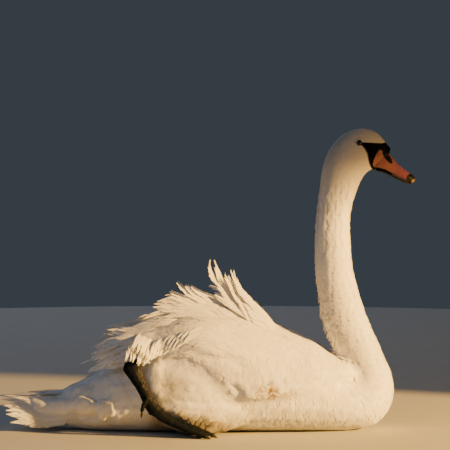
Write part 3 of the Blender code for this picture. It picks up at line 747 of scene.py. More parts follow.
def vane(coat, path, facings, width, random, barbs=24, loose=0.1, taper=0.4, point=1.7, root=0.45):
    """One large feather: a quill, and barbs down both sides that end along a smooth outline. The
    barbs keep together in locks, which part from each other towards the tip."""
    fine = np.linspace(0, 1, 60)
    line = curve(path, len(fine))
    along = unit(np.gradient(line, axis=0))
    spread = np.linspace(0, 1, len(facings))
    facing = np.stack([np.interp(fine, spread, column) for column in np.transpose(facings)], 1)
    side = unit(np.cross(along, facing))
    up = unit(np.cross(side, along))
    span = lengths(np.diff(line, axis=0)).sum()
    shaft = np.linspace(0, 0.98, 9)
    quill = min(1.0, 0.3 + width / (22 * MM)) * MM
    coat.lay(
        sampled(line[None], shaft[None]), sampled(up[None], shaft[None]),
        np.linspace(0.7, 0.2, 7)[None] * quill, np.linspace(0.8, 0.25, 7)[None] * quill,
        line[:1], np.array([0.35]),
    )
    count = 2 * barbs
    ends = np.tile(np.linspace(0.05, 0.995, barbs), 2)
    hand = np.repeat([-1.0, 1.0], barbs)
    narrow = 1 - np.clip((ends - taper) / (1 - taper), 0, 1) ** point
    reach = width / 2 * mixed(root, 1, ramp(ends, -0.2, 0.35)) * narrow + 0.3 * MM
    # About one barb in six begins a lock. A lock's barbs lean together; where two locks part, the
    # barbs between them end short.
    first = random.random(count) < 0.17
    lock = np.cumsum(first)
    late = ramp(ends, 0.15, 0.9)
    lean = random.normal(0, loose, count)[lock] * late
    short = (first | np.roll(first, -1)) * random.uniform(0, 2.2 * loose, count)[lock] * late
    gap = span * 0.945 / barbs
    slant = mixed(0.68, 0.20, ends**1.4)
    length = np.maximum(reach / np.sin(slant), 2.8 * gap)
    slant = np.arcsin(reach / length)
    length = length * (1 - np.clip(short, 0, 0.6))
    begin = np.clip(ends - length * np.cos(slant) / span, 0.02, 0.97)
    slant = np.clip(slant + lean, 0.12, 1.3)
    steps = np.array([[0, 0.15, 0.55, 0.9, 1]])
    out = (length * np.sin(slant))[:, None] * steps**0.88
    share = begin[:, None] + (length * np.cos(slant))[:, None] * steps**1.12 / span
    past = along[-1] * np.maximum(share - 1.0, 0)[..., None] * span
    lines, sides, ups = (
        sampled(np.repeat(v[None], count, axis=0), share) for v in (line, side, up))
    # The vane is a little hollow below, and its locks lie unevenly.
    wave = random.normal(0, 4 * loose * MM, count)[lock] * late
    high = wave[:, None] * steps - 0.24 * out**2 / width
    run = lines + past + sides * (hand[:, None] * out)[..., None] + ups * high[..., None]
    half = (gap * 0.8 * np.sin(slant) + 0.2 * MM)[:, None] * np.array([[0.9, 1.0, 0.7]])
    tone = 0.6 + random.normal(0, 0.1, count)[lock] + random.normal(0, 0.04, count)
    coat.lay(run, ups, half, np.full_like(half, 0.12 * MM), run[:, 0], np.clip(tone, 0, 1))


# ---- skin ----

def coat_depth(points):
    """How far the skin lies inside the coat: least on the face, most on the breast and belly."""
    x, _, z = points.T
    depth = np.where(x < 0.24, 4.8, mixed(0.9, 4.8, fall(z, 0.16, 0.55)))
    wing_front = fall(oval(points, *WING_FRONT), 0.7, 1)
    return MM * mixed(mixed(depth, 2.4, wing_front), 3.5, fall(x, -0.36, -0.30))


def under_horn(points):
    """1 where the horn of the bill covers the face, 0 elsewhere."""
    return inside_outline(points[:, (0, 2)], HORN, 0.8 * MM)


def fullness(points):
    """How much the coat swells and sinks in soft locks, most on the rump and flanks."""
    x, _, z = points.T
    body = fall(z, 0.15, 0.24)
    rear = fall(x, -0.14, 0.10) * body
    size = mixed(mixed(0.35, 0.8, body), mixed(2.2, 1.2, ramp(x, -0.15, -0.12)), rear)
    size = size * fall(z, 0.50, 0.53)
    locks = wobble(points * (0.55, 1, 1), 19 * MM) + 0.7 * wobble(points + 0.31, 8 * MM)
    neck = band(z, 0.14, 0.20, 0.50, 0.54) * ramp(x, 0.20, 0.24) * mixed(1, 1.5, ramp(z, 0.36, 0.42))
    mottle = 0.75 * neck * (wobble(points * (1, 1, 0.6), 5 * MM) + 0.7 * wobble(points + 0.2, 3 * MM))
    clumps = 1.6 * damp(points) * (0.4 + wobble(points * (0.6, 1, 1), 9 * MM))
    return MM * (size * locks * ramp(z, 0.002, 0.02) + mottle + clumps * ramp(z, 0.002, 0.01))


def groove_reach(points):
    """Flank, breast and back feathers close over the wing's edges, so the grooves there are filled."""
    x, _, z = points.T
    nape = ramp(x, 0.21, 0.25) * ramp(z, 0.11, 0.15)
    body = ramp(x, -0.15, -0.10) * fall(z, 0.28, 0.34) * (1 - 0.75 * nape)
    flank = fall(oval(points, *UPPER_FLANK), 0.7, 1.2) * ramp(x, -0.13, -0.09)
    return 12 * MM * (body + flank)


# Clumps of loose feathers on the rump: middle (x, z), half-length, half-height, how far they stand out.
PUFFS = [
    (-256, 84, 17, 12, 10), (-256, 58, 28, 18, 15), (-214, 50, 12, 22, 12), (-197, 58, 8, 22, 8),
    (-230, 22, 28, 9, 4), (-300, 52, 24, 15, 9), (-180, 30, 20, 14, 3),
]


def puffs(points):
    """How far the rump's clumps stand out: each swells from the front and drops off at its rim."""
    total = np.zeros(len(points))
    for x, z, long, high, out in np.array(PUFFS) * MM:
        away = oval(points, (x, z), (long, high))
        total = np.maximum(total, out * fall(away, 0.78, 1.12) * (1 - 0.35 * away))
    return total * ramp(np.abs(points[:, 1]), 0.01, 0.03)


# Upper edge of the flank feathers, which lie over the wing, as x and z.
FLANK_EDGE = np.array([
    (-140, 140), (-128, 152), (-94, 168), (-42, 174), (0, 153), (41, 118), (72, 84), (118, 70), (150, 66),
]) * MM


def ledge(points):
    """How far the flank feathers stand out over the wing, most along their upper edge."""
    x, y, z = points.T
    edge = curve(FLANK_EDGE, 80)
    away = np.min([np.hypot(x - a, z - b) for a, b in edge], axis=0)
    below = np.sign(np.interp(x, edge[:, 0], edge[:, 1]) - z) * away
    side = ramp(np.abs(y), 0.07, 0.09) * band(x, -0.12, -0.09, 0.06, 0.12)
    return 1.6 * MM * side * ramp(below, -1.5 * MM, 1.5 * MM) * np.exp(-np.maximum(below, 0) / (22 * MM))


def pocket(points):
    """How deep the shaded hollow is where the wing slips behind the flank feathers."""
    x, y, z = points.T
    off_x, off_z = x - 0.066, z - 0.101
    run, across = off_x * 0.83 - off_z * 0.55, off_x * 0.55 + off_z * 0.83
    shape = band(run, -0.022, -0.012, 0.0, 0.024) * fall(np.abs(across), 0.002, 0.010)
    return 6 * MM * shape * ramp(np.abs(y), 0.08, 0.10)


def make_skin():
    """The one skin of the flesh, and the surface that the coat's top follows."""
    nodes = [*FLESH, "bill_knob", "eye_left", "eye_right", "bill_upper", "bill_lower"]
    skin = shell("skin", nodes, 3.6 * MM)
    closed_up(skin, groove_reach, 3.6 * MM)
    refined(skin, lambda p: (p[:, 2] > 0.535) & (p[:, 0] > 0.24))
    points = smoothed(skin, 6, 0.9)
    edges = read_edges(skin.data)
    # The brow runs on into the knob, so the groove between them is filled.
    groove = ramp(points[:, 0], 0.355, 0.365) * ramp(points[:, 2], 0.575, 0.585)
    for _ in range(90):
        normals = unit(read_normals(skin.data))
        out = dot(relaxed(points, edges, 1, 1.0) - points, normals)
        points = points + normals * np.maximum(out, 0) * 0.8 * groove[:, None]
        write_points(skin.data, points)
    swell = fullness(points) + puffs(points) + ledge(points) - pocket(points)
    write_points(skin.data, points + unit(read_normals(skin.data)) * swell[:, None])
    top = Surface(skin.data)
    for reach in (17 * MM, 11 * MM):
        refined(skin, lambda p, reach=reach: lengths(np.abs(p) - EYE) < reach)
    points = read_points(skin.data)
    normals = unit(relaxed(read_normals(skin.data), read_edges(skin.data), 3))
    marks = markings(points)
    depth = mixed(coat_depth(points), 0.25 * MM, marks["bare"])
    knob = fall(lengths(points - KNOB), KNOB_RADIUS + 1 * MM, KNOB_RADIUS + 2 * MM)
    depth = mixed(depth, 2.0 * MM, under_horn(points) * (1 - knob))
    points = with_lids(points - normals * depth[:, None])
    points[:, 2] = np.maximum(points[:, 2], 1.5 * MM)
    write_points(skin.data, points)
    write_values(skin.data, **marks)
    dressed(skin, "skin", [*FLESH, "bill_knob"])
    return top


def with_lids(points):
    """Opens the skin over each eye and rolls it into a thin lid round the ball."""
    made = points.copy()
    for hand in SIDES.values():
        centre = EYE * (1, hand, 1)
        off = points - centre
        outward = unit(GAZE * (1, hand, 1))
        ahead = off @ outward
        flat = off - ahead[:, None] * outward
        # The opening is a little wider than it is high.
        ring = np.hypot(flat[:, 0] / 1.08, flat[:, 2] / 0.88)
        near = (lengths(off) < 16 * MM) & (ahead > -2 * MM)
        ball = np.sqrt(np.maximum(EYE_RADIUS**2 - ring**2, 0))
        rim = 0.75 * MM * np.exp(-(((ring - EYE_OPENING - 0.9 * MM) / (0.9 * MM)) ** 2))
        lid = np.maximum(ahead, ball + 0.35 * MM) + rim
        height = mixed(ahead, lid, fall(ring, 6.0 * MM, 9.5 * MM))
        opening = fall(ring, EYE_OPENING - 0.3 * MM, EYE_OPENING + 0.2 * MM)
        height = mixed(height, ball - 1.6 * MM, opening)
        made[near] = (centre + flat + height[:, None] * outward)[near]
    return made


top = make_skin()


# ---- bill, eyes, legs and claws ----

BILL_SLOPE = math.radians(-53)      # the way the nostril lies, in x and z
NOSTRIL = np.array([381, 574]) * MM
UPPER_EDGE = np.array([
    (355, 549.5), (364, 548.5), (376, 545.5), (388.5, 539), (402, 532), (414.5, 526.5), (424.5, 522),
    (431, 519), (435.2, 519.5),
]) * MM


def horn_plates():
    """The sides of the face that horn covers, cut out of the head as one closed solid."""
    work = bmesh.new()
    work.from_mesh(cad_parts["head"].data)
    bmesh.ops.remove_doubles(work, verts=work.verts, dist=0.001 * MM)
    outline = HORN[[10, 0, 1, 2, 3, 4, 5]]
    for a, b in zip(outline, outline[1:]):
        way = b - a
        geometry = [*work.verts, *work.edges, *work.faces]
        cut = bmesh.ops.bisect_plane(
            work, geom=geometry, plane_co=(a[0], 0, a[1]), plane_no=(way[1], 0, -way[0]),
            clear_outer=True,
        )
        rim = [edge for edge in cut["geom_cut"] if isinstance(edge, bmesh.types.BMEdge)]
        bmesh.ops.holes_fill(work, edges=rim)
    bmesh.ops.recalc_face_normals(work, faces=work.faces)
    return work


def make_bill():
    """Both halves of the bill, with nostrils, a cutting edge and a nail."""
    upper = shell("upper_bill", ["bill_upper", "bill_nail"], 0.8 * MM, 0.35 * MM, horn_plates())
    closed_up(upper, lambda p: np.full(len(p), 2.2 * MM), 0.8 * MM)
    points = smoothed(upper, 6)
    along = np.array([math.cos(BILL_SLOPE), math.sin(BILL_SLOPE)])
    off = points[:, (0, 2)] - NOSTRIL
    run, across = off @ along, off @ np.array([-along[1], along[0]])
    sides = ramp(np.abs(points[:, 1]), 3.0 * MM, 5.0 * MM)
    field = np.hypot(run / (17 * MM), across / (5.6 * MM))
    slit = np.hypot((run - 2 * MM) / (6.5 * MM), (across + 0.6 * MM) / (1.9 * MM))
    dip = MM * sides * (0.8 * fall(field, 0.7, 1.05) + 1.7 * fall(slit, 0.6, 1.15))
    points = points - unit(read_normals(upper.data)) * dip[:, None]
    write_points(upper.data, points)
    # The cutting edge, the knob, the nail and the nostril's field are black.
    x, _, z = points.T
    rim_width = np.interp(x, [0.355, 0.40, 0.43], [4.6 * MM, 3.4 * MM, 2.6 * MM])
    above = z - np.interp(x, *UPPER_EDGE.T)
    black = np.maximum.reduce([
        fall(above, rim_width - 0.5 * MM, rim_width + 0.5 * MM),
        fall(np.hypot(x - KNOB[0], z - KNOB[2]), 10 * MM, 11.5 * MM),
        fall(oval(points, *NAIL), 0.88, 1),
        ramp(x, 0.4325, 0.434),
        fall(field, 0.9, 1.03) * sides,
    ])
    worn = fall(oval(points, *WORN_TIP), 3.5 / 5.5, 1)
    write_values(upper.data, black=black, pale=0.75 * worn, tipward=ramp(x, 0.378, 0.410))
    dressed(upper, "horn", ["bill_upper", "bill_nail"])
    lower = shell("lower_bill", ["bill_lower"], 0.8 * MM, 0.7 * MM)
    smoothed(lower, 3)
    write_values(lower.data, black=0.98, pale=0, tipward=0)
    dressed(lower, "horn", ["bill_lower"])


def make_eye(side, hand):
    """A ball with a bulging cornea, turned a little forward."""
    deselect()
    bpy.ops.mesh.primitive_uv_sphere_add(segments=48, ring_count=32, radius=EYE_RADIUS)
    ball = bpy.context.object
    ball.name = ball.data.name = f"eyeball_{side}"
    points = read_points(ball.data)
    points = points * (1 + 0.07 * ramp(points[:, 2], 0.55 * EYE_RADIUS, EYE_RADIUS))[:, None]
    turn = np.array(Vector(GAZE * (1, hand, 1)).to_track_quat("Z", "Y").to_matrix())
    write_points(ball.data, points @ turn.T + EYE * (1, hand, 1))
    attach(ball, BODY)
    dressed(ball, "eye", [f"eye_{side}"])


SHANK = np.array([(-156, 150), (-103, 55)]) * MM      # the shank's middle line, as x and z
SCUTE = 5.2 * MM                                      # from one ring of scutes to the next


def make_leg(side, hand):
    """The bare shank and webbed foot as one scaled piece, and its claws."""
    nodes = [f"shank_{side}", f"foot_{side}"]
    leg = shell(f"leg_{side}_skin", nodes, 1.5 * MM, 0.2 * MM)
    normals = unit(read_normals(leg.data))
    points = smoothed(leg, 5, 0.8)
    # Rings of scutes across the front of the shank and along the toes.
    x, _, z = points.T
    run = np.where(z > 0.055, z * 0.9 - x * 0.35, -x * 0.9)
    scutes = np.abs((run / SCUTE) % 1 - 0.5)
    front = ramp(normals[:, 1] * hand + normals[:, 0] * 0.6, 0.1, 0.7)
    points = points - normals * (0.45 * MM * ramp(scutes, 0.36, 0.5) * front)[:, None]
    off = points[:, (0, 2)] - SHANK[0]
    way = unit(SHANK[1] - SHANK[0])
    ahead = off[:, 1] * way[0] - off[:, 0] * way[1]
    down = off @ way
    # The hock is a knob, broadest to the front, and the shank is narrowest at its middle.
    knob = fall(down, 4 * MM, 26 * MM) * np.where(ahead > 0, 0.75, 0.15)
    waist = 0.12 * band(down, 25 * MM, 50 * MM, 65 * MM, 90 * MM)
    points[:, (0, 2)] += (ahead * (knob - waist))[:, None] * np.array([-way[1], way[0]])
    points = points + normals * (0.5 * MM * wobble(points, 5 * MM))[:, None]
    points[:, 2] = np.maximum(points[:, 2], FLOOR_GAP)
    write_points(leg.data, points)
    # The front of the shank is browner and greyer, down to where the toes part.
    ahead = ahead + 2 * MM * wobble(points, 7 * MM)
    brown = ramp(ahead, 0, 5 * MM) * band(down, 2 * MM, 16 * MM, 92 * MM, 112 * MM)
    write_values(leg.data, brown=brown)
    dressed(leg, "leg", nodes)
    nodes = [f"claw_{toe}_{side}" for toe in ("hind", "inner", "middle", "outer")]
    claws = shell(f"claws_{side}", nodes, 0.7 * MM, 0.05 * MM)
    points = smoothed(claws, 3)
    points[:, 2] = np.maximum(points[:, 2], 0)
    write_points(claws.data, points)
    dressed(claws, "claw", nodes)


make_bill()
for side, hand in SIDES.items():
    make_eye(side, hand)
    make_leg(side, hand)


# ---- coat of small feathers ----

def nearest_node(points, nodes):
    """Which of the solids each point is nearest to, as its number in nodes."""
    corners, faces, owner = [], [], []
    for number, node in enumerate(nodes):
        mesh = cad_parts[node].data
        triangles = read_triangles(mesh)
        faces += (triangles + len(corners)).tolist()
        corners += read_points(mesh).tolist()
        owner += [number] * len(triangles)
    tree = BVHTree.FromPolygons(corners, faces)
    return np.array([owner[tree.find_nearest(point)[2]] for point in points.tolist()])


def lie_of_wing(points):
    """Coverts fan back from the wrist, upwards to the plumes and down over the hock."""
    way = unit((points - WRIST) * (1, 0, 0.75))
    back = fall(points[:, 0], -0.13, 0.01) * fall(points[:, 2], 0.18, 0.215)
    return unit(mixed(way, np.array([-0.8, 0, -0.6]), back[:, None] * 0.8))


owner = nearest_node(top.middles, FLESH)
belongs = {node: owner == number for number, node in enumerate(FLESH)}
feathered = (markings(top.middles)["bare"] < 0.3) & (under_horn(top.middles) < 0.1)

NECK = belongs["neck_lower"] | belongs["neck_middle"] | belongs["neck_upper"]
BEHIND = top.middles[:, 0] < -0.12
REAR = belongs["tail_coverts"] | (belongs["trunk"] & BEHIND)
FLANK = belongs["thigh_left"] | belongs["thigh_right"]

# For each stretch of coat: faces, spacing, feather length, width, strips, rings, lift (mm).
COATS = [
    ("coat_head", belongs["head"], 1.7, 7.0, 3.8, 1, 3, 0.0),
    ("coat_neck", NECK, 3.7, 12.0, 8.4, 3, 2, 0.25),
    ("coat_breast", belongs["trunk"] & ~BEHIND, 6.0, 21.0, 16.0, 4, 2, 0.1),
    ("coat_flanks", FLANK, 5.9, 25.0, 16.0, 5, 3, 0.15),
    ("coat_rump", REAR, 6.6, 26.0, 18.0, 5, 3, 0.15),
    ("coat_wing_right", belongs["wing_right"], 6.2, 24.0, 17.0, 4, 3, 0.0),
    ("coat_wing_left", belongs["wing_left"], 6.2, 24.0, 17.0, 4, 3, 0.0),
]


def growth(name, points):
    """How large feathers are at each point, against the usual size on that stretch."""
    x, _, z = points.T
    if name == "coat_neck":
        return mixed(0.62, 1.5, fall(z, 0.16, 0.50))
    if name == "coat_head":
        return mixed(0.62, 1.15, fall(x, 0.285, 0.345))
    if name.startswith("coat_wing"):
        return mixed(0.8, 1.2, fall(x, 0.0, 0.25))
    return np.ones(len(points))


NAPE = SPINE[18:5:-1]      # the middle line of the neck, from the breast up


def ruffled(name, points, random):
    """How much further feathers stand off on the lower nape, where wet, and here and there."""
    x, _, z = points.T
    behind = np.interp(z, NAPE[:, 1], NAPE[:, 0]) - x
    nape = ramp(behind, 0.012, 0.03) * band(z, 0.13, 0.17, 0.22, 0.34) * (name == "coat_neck")
    loose = (random.random(len(points)) < 0.03) * fall(z, 0.20, 0.30)
    chance = random.random(len(points))
    return (9 * nape * chance**2 + 0.5 * loose + 2.2 * damp(points) * chance) * MM


def make_coats():
    """The small feathers, one piece for each stretch of coat."""
    for number, (name, faces, gap, length, width, strips, rings, lift) in enumerate(COATS):
        random = np.random.default_rng(100 + number)
        spacing = gap * MM * growth(name, top.middles)
        places = scattered(top, (faces & feathered).astype(float), spacing, random)
        size = growth(name, places) * MM
        ways = lie_of_wing(places) if "wing" in name else lie_of_body(places)
        turn = wobble(places, 16 * MM)[:, None] * (0.12 if name == "coat_head" else 0.30)
        ways = ways + turn * np.cross(ways, top.nearest(places)[1]) + random.normal(0, 0.05, ways.shape)
        lifts = lift * MM + ruffled(name, places, random)
        coat = Coat(name)
        tufts(coat, top, places, ways, length * size, width * size, strips, rings, lifts, random)
        coat.made("head_feather" if name == "coat_head" else "white_feather")


make_coats()


# ---- large feathers ----

# Plumes: the middle line as x and z from root to tip, how far out it stands, and the width.
PLUMES = {
    "plume_front": [
        ([(110, 222), (72, 261), (51, 285), (34, 303), (21, 317), (13, 332), (9, 348), (10, 363)], 51, 16),
        ([(116, 222), (83, 258), (66, 276), (50, 296), (40, 311), (32, 323), (27, 338), (18, 362)], 47, 13),
        ([(118, 222), (83, 258), (65, 285), (53, 308), (45, 323), (40, 333)], 54, 11),
        ([(122, 222), (89, 258), (75, 270), (63, 294), (54, 314), (48, 329)], 50, 11),
        ([(128, 222), (98, 254), (83, 270), (68, 294), (60, 314), (56, 329), (53, 341)], 46, 11),
        ([(148, 216), (119, 248), (98, 270), (83, 287), (74, 297), (68, 311), (62, 326), (59, 341)], 53, 12),
        ([(138, 218), (108, 250), (90, 270), (76, 290), (67, 306), (62, 318)], 42, 15),
        ([(96, 236), (60, 273), (41, 290), (28, 299), (17, 303), (6, 306)], 44, 12),
        ([(104, 232), (72, 258), (53, 270), (36, 279), (24, 286), (17, 290)], 57, 15),
        ([(108, 228), (83, 249), (53, 264), (42, 270), (32, 276), (22, 284)], 60, 13),
        ([(110, 222), (78, 255), (58, 275), (42, 292), (32, 306)], 49, 26),
        ([(120, 222), (88, 255), (70, 278), (58, 296), (50, 310)], 47, 26),
        ([(132, 220), (100, 252), (84, 272), (72, 290), (66, 304)], 50, 26),
        ([(102, 222), (76, 250), (56, 268), (42, 281)], 55, 26),
        ([(124, 220), (96, 246), (78, 264), (64, 280)], 58, 28),
        ([(140, 214), (112, 240), (94, 258), (80, 272)], 58, 28),
    ],
    "plume_rear": [
        ([(44, 244), (2, 271), (-22, 282), (-37, 289), (-46, 298), (-53, 306), (-61, 315)], 57, 9),
        ([(50, 246), (17, 265), (-7, 277), (-22, 286), (-34, 295), (-43, 308)], 55, 10),
        ([(94, 232), (60, 255), (38, 264), (20, 272), (-1, 282), (-19, 291), (-31, 300), (-40, 307)], 51, 16),
        ([(10, 252), (-31, 270), (-48, 276), (-62, 281), (-75, 284), (-87, 282)], 62, 11),
        ([(14, 254), (-22, 271), (-42, 277), (-54, 283), (-66, 288), (-78, 291)], 58, 9),
        ([(64, 234), (30, 255), (1, 264), (-31, 273), (-60, 276), (-84, 274), (-104, 269)], 61, 20),
        ([(58, 230), (20, 252), (-13, 259), (-43, 264), (-69, 264), (-93, 264), (-111, 264)], 65, 22),
        ([(54, 226), (16, 249), (-13, 256), (-43, 258), (-66, 257), (-87, 254), (-104, 252)], 68, 20),
        ([(50, 224), (8, 248), (-22, 253), (-43, 252), (-63, 249), (-81, 245), (-98, 240)], 71, 18),
        ([(84, 230), (50, 252), (20, 264), (-8, 272), (-34, 280)], 55, 28),
        ([(74, 228), (36, 254), (4, 264), (-28, 270), (-54, 274)], 58, 28),
        ([(64, 226), (28, 250), (-4, 258), (-36, 263), (-72, 266)], 62, 28),
        ([(80, 232), (56, 250), (36, 258), (12, 264)], 60, 28),
        ([(66, 226), (40, 244), (14, 253), (-14, 258)], 67, 28),
    ],
}
LEFT_PLUME_DROP = 6
# The ends of the wing: middle lines as x, y and z, the width, and how loose the barbs are.
FLIGHT_FEATHERS = [
    ([(-30, 70, 222), (-79, 66, 233), (-118, 60, 226), (-153, 52, 217), (-178, 46, 214), (-207, 40, 214)],
     25, 0.08),
    ([(-50, 78, 210), (-110, 72, 214), (-150, 63, 208), (-185, 53, 206), (-214, 46, 206)], 24, 0.1),
    ([(-70, 92, 198), (-120, 86, 202), (-160, 72, 194), (-198, 60, 186)], 28, 0.1),
    ([(-80, 92, 190), (-137, 81, 196), (-160, 76, 199), (-185, 71, 196), (-210, 63, 189), (-232, 56, 177)],
     26, 0.35),
    ([(-90, 96, 186), (-137, 88, 192), (-168, 80, 185), (-192, 76, 177), (-224, 66, 161), (-246, 58, 151),
      (-263, 50, 143)], 17, 0.2),
    ([(-90, 100, 178), (-130, 95, 182), (-168, 86, 176), (-200, 78, 166), (-228, 68, 148)], 24, 0.15),
    ([(-90, 104, 166), (-130, 99, 172), (-170, 89, 164), (-200, 80, 152), (-224, 70, 139), (-247, 60, 127)],
     28, 0.15),
    ([(-90, 104, 156), (-130, 101, 160), (-165, 93, 154), (-196, 82, 144), (-215, 76, 137)], 26, 0.2),
]
TAIL_FEATHERS = [
    ([(-280, 10, 79), (-334, 12, 78), (-370, 14, 76), (-398, 16, 74)], 22),
    ([(-290, 6, 66), (-345, 7, 67), (-392, 8, 70), (-438, 8, 71)], 30),
    ([(-290, 16, 58), (-345, 20, 58), (-391, 26, 62), (-430, 30, 66)], 30),
    ([(-290, 26, 50), (-345, 32, 48), (-391, 40, 52), (-424, 44, 55)], 28),
    ([(-290, 32, 42), (-345, 40, 40), (-391, 48, 43), (-419, 54, 46)], 26),
    ([(-290, 36, 33), (-345, 46, 31), (-391, 56, 35), (-418, 62, 39)], 24),
    ([(-286, 36, 24), (-345, 50, 20), (-380, 58, 22), (-409, 64, 21)], 22),
]


# Feathers laid along the surface in overlapping rows, from the root end to the tip end: the x and z
# of the row, how many feathers, their length and width, and how far they stand off at the tip.
TRACTS = [
    ("scapulars", [(218, 177), (155, 206), (103, 227), (41, 238), (-32, 240), (-84, 236)],
     9, 80, 26, 1.5),
    ("covert_rows", [(150, 205), (103, 222), (41, 236), (-21, 240), (-84, 228), (-132, 205),
                     (-158, 178)], 10, 82, 26, 2.0),
    ("covert_rows", [(120, 190), (72, 208), (10, 216), (-50, 208), (-100, 190), (-140, 160)],
     10, 76, 24, 2.5),
    ("covert_rows", [(103, 172), (60, 186), (10, 196), (-32, 192), (-66, 176), (-90, 160)],
     9, 64, 22, 2.5),
]


def on_side(rows, hand, drop=0.0):
    """Points in millimetres of one side's feather, in metres and on the side asked for."""
    return np.array(rows, float) * (1, hand, 1) * MM - (0, 0, drop)


def chain(count):
    """The links between points in a row."""
    return np.stack([np.arange(count - 1), np.arange(1, count)], axis=1)


def laid(rows, hand, lift):
    """A path of x and z set on the side of the body, rising by lift to its end; and its normals."""
    places, normals = [], []
    for x, z in rows:
        hit, normal, _, _ = top.tree.ray_cast((x, hand * 0.4, z), (0, -hand, 0))
        if hit is None:
            hit, normal, _, _ = top.tree.find_nearest((x, hand * 0.1, z))
        places.append(hit)
        normals.append(normal)
    normals = unit(relaxed(np.array(normals), chain(len(rows)), 6))
    rise = np.linspace(0, 1, len(rows))[:, None]
    return relaxed(np.array(places), chain(len(rows)), 2) + normals * (lift * rise - 1 * MM), normals


def make_tracts(side, hand):
    """The scapulars and the covert rows of one wing."""
    random = np.random.default_rng(35)
    coats = {name: Coat(f"{name}_{side}", 0.3) for name, *_ in TRACTS}
    for name, row, count, length, width, lift in TRACTS:
        fine = curve(np.array(row, float) * MM, 200)
        total = lengths(np.diff(fine, axis=0)).sum() / MM
        for i in range(count):
            start = (total - length) * i / (count - 1) + random.normal(0, 2)
            ends = np.clip(np.array([start, start + length]) / total, 0, 1) * (len(fine) - 1)
            path = fine[np.linspace(*ends, 9).astype(int)]
            way = unit(path[-1] - path[0])
            down = np.array([way[1], -way[0]]) * (1 if way[0] < 0 else -1)
            splay = np.linspace(-0.5, 1, 9)[:, None] * random.uniform(-6, 8) * MM
            places, normals = laid(path - down * splay, hand, lift * MM * random.uniform(0.6, 1.6))
            vane(coats[name], places, normals, width * MM * random.uniform(0.85, 1.15), random)
    for coat in coats.values():
        coat.made()


# Comb-like tips of the last coverts, hanging over the hock: x and z of each tip.
FRINGE = [
    (-161, 157), (-154, 158), (-148, 156), (-141, 153), (-134, 149), (-127, 149), (-120, 153),
    (-112, 158), (-104, 160), (-96, 163), (-88, 167), (-79, 171), (-70, 175), (-60, 180), (-48, 186),
]


def make_fringe(side, hand):
    """The comb of the last coverts, in two layers."""
    random = np.random.default_rng(36)
    coat = Coat(f"covert_fringe_{side}", 0.1)
    for layer in range(2):
        for i, (x, z) in enumerate(FRINGE):
            share = i / (len(FRINGE) - 1)
            tip = np.array([x, z]) + random.normal(0, 1.2, 2) + layer * np.array([5, 13])
            root = tip + mixed(np.array([24, 42]), np.array([46, 30]), share) * random.uniform(0.8, 1.1)
            bend = tip + mixed(np.array([6, 25]), np.array([20, 20]), share)
            path = curve(np.array([root, bend, tip]) * MM, 9)
            places, normals = laid(path, hand, (7 - 2 * layer) * MM)
            # The tips over the hock are held off the body by it, and all are turned to the front.
            over_hock = fall(path[:, 0], -0.12, -0.085) * ramp(np.linspace(0, 1, 9), 0.1, 0.8)
            reach = np.abs(places[:, 1])
            places[:, 1] = hand * np.maximum(reach, mixed(reach, 0.155 - layer * 0.002, over_hock))
            vane(coat, places, unit(normals + (0.7, 0, 0.1)), 12 * MM * random.uniform(0.9, 1.2), random,
                 24, 0.08, 0.35, 1.6)
    coat.made()


def make_plumes(side, hand):
    """The ruffled inner feathers of one wing. Behind each lie two more, a little shorter."""
    for number, (group, feathers) in enumerate(PLUMES.items()):
        random = np.random.default_rng(31 + number)
        coat = Coat(f"{group}_vanes_{side}")
        for path, away, width in feathers:
            rise = np.linspace(0, 1, len(path))[:, None]
            path = np.insert(np.array(path, float), 1, away, axis=1)
            facing = (0.45, hand, 0.35 + random.normal(0, 0.08))
            for copy, (out, barbs) in enumerate(((0, 56), (2.5, 38), (-2.5, 34))):
                shift = np.array([random.normal(0, 3), 0, random.normal(0, 3)]) * (copy > 0)
                moved = curve(path + rise * shift + (0, out, 0), 30)[:30 - 2 * copy]
                drop = LEFT_PLUME_DROP * MM if side == "left" else 0
                vane(coat, on_side(moved, hand, drop), [facing, facing], 1.25 * width * MM, random,
                     barbs, 0.05 + 0.05 * copy, 0.3, 1.5)
        coat.made(replaces=[f"{group}_{side}"])


def make_flight_feathers(side, hand):
    """The ends of one wing's flight feathers, each with two shorter ones beside it."""
    random = np.random.default_rng(33)
    coat = Coat(f"flight_vanes_{side}")
    facing = (0, hand * 0.8, 0.6)
    for path, width, loose in FLIGHT_FEATHERS:
        for copy in range(3):
            moved = curve(path, 30)[:30 - 4 * copy] + (0, 3.0 * copy, 2.0 * copy)
            moved = moved + np.linspace(0, 1, len(moved))[:, None] * random.normal(0, 4, 3) * (copy > 0)
            vane(coat, on_side(moved, hand), [facing, facing], width * MM, random, 50, loose, 0.5, 1.8)
    coat.made(replaces=[f"flight_feathers_{side}"])


def make_tail():
    """Each side's feathers lie flat at the middle of the tail and turn outwards to its rim."""
    random = np.random.default_rng(34)
    coat = Coat("tail_vanes")
    for hand in SIDES.values():
        for number, (path, width) in enumerate(TAIL_FEATHERS):
            out = number / (len(TAIL_FEATHERS) - 1)
            facing = (0, hand * mixed(0.25, 1.0, out), mixed(1.0, 0.35, out))
            for copy in range(3):
                moved = curve(path, 30)[:30 - 5 * copy] + (0, 1.2 * copy, 1.2 * copy)
                vane(coat, on_side(moved, hand), [facing, facing], width * MM, random, 44, 0.14, 0.45,
                     1.8, 0.8)
    coat.made(replaces=["tail_feathers"])


for side, hand in SIDES.items():
    make_tracts(side, hand)
    make_fringe(side, hand)
    make_plumes(side, hand)
    make_flight_feathers(side, hand)
make_tail()


# ---- camera, lights and floor ----

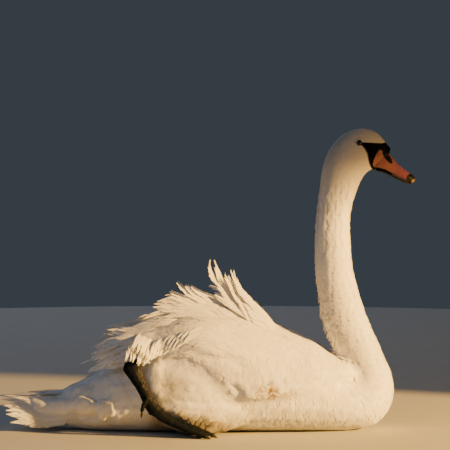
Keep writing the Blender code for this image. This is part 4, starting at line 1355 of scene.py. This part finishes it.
def look_at(thing, place, target):
    """Puts a lamp or the camera at a place and turns it to a target."""
    thing.location = place
    thing.rotation_euler = (Vector(target) - Vector(place)).to_track_quat("-Z", "Y").to_euler()


def add_light(name, place, target, size, power, color, cone=None):
    """A round soft light or, given a cone in degrees, a spot whose rim is crisp."""
    data = bpy.data.lights.new(name, "SPOT" if cone else "AREA")
    if cone:
        data.spot_size = math.radians(cone)
        data.spot_blend = 0.06
        data.shadow_soft_size = size
    else:
        data.shape = "DISK"
        data.size = size
    data.energy = power
    data.color = srgb(color)[:3]
    lamp = bpy.data.objects.new(name, data)
    bpy.context.scene.collection.objects.link(lamp)
    look_at(lamp, place, target)


def make_camera():
    """Eight metres off, 4.5 degrees above level, framing 945 mm at the bird."""
    away, rise, seen = 8.0, math.radians(4.5), 0.945
    target = Vector((0.04095, 0, 0.4308))
    data = bpy.data.cameras.new("camera")
    data.sensor_width = 36
    data.lens = data.sensor_width * away / seen
    data.clip_end = 100
    camera = bpy.data.objects.new("camera", data)
    bpy.context.scene.collection.objects.link(camera)
    look_at(camera, target - away * Vector((0, math.cos(rise), -math.sin(rise))), target)
    bpy.context.scene.camera = camera


def make_stage():
    """A round floor, a low warm sun from the front right, cool light from the sky, and a dim room."""
    deselect()
    bpy.ops.mesh.primitive_circle_add(vertices=96, radius=2.6, fill_type="NGON")
    floor = bpy.context.object
    floor.name = "floor"
    floor.data.materials.append(MATERIALS["floor"])
    sun, middle = (4.4, -1.9, 1.5), (0.05, 0, 0.25)
    add_light("key", sun, middle, 1.4, 55, "#ffc973")
    # The upper rim of the spot's cone leaves the head in shade.
    add_light("key_low", sun, (0.05, 0, -0.38), 0.07, 3900, "#ffc660", cone=18.8)
    add_light("fill", (-2.6, -3.0, 2.2), middle, 2.6, 21, "#b9cff0")
    add_light("back", (-1.0, 3.2, 2.4), middle, 2.4, 16, "#cadaf5")
    world = bpy.data.worlds.new("studio")
    bpy.context.scene.world = world
    world.use_nodes = True
    background = world.node_tree.nodes["Background"]
    background.inputs["Color"].default_value = srgb("#76818f")
    background.inputs["Strength"].default_value = 0.24


make_camera()
make_stage()
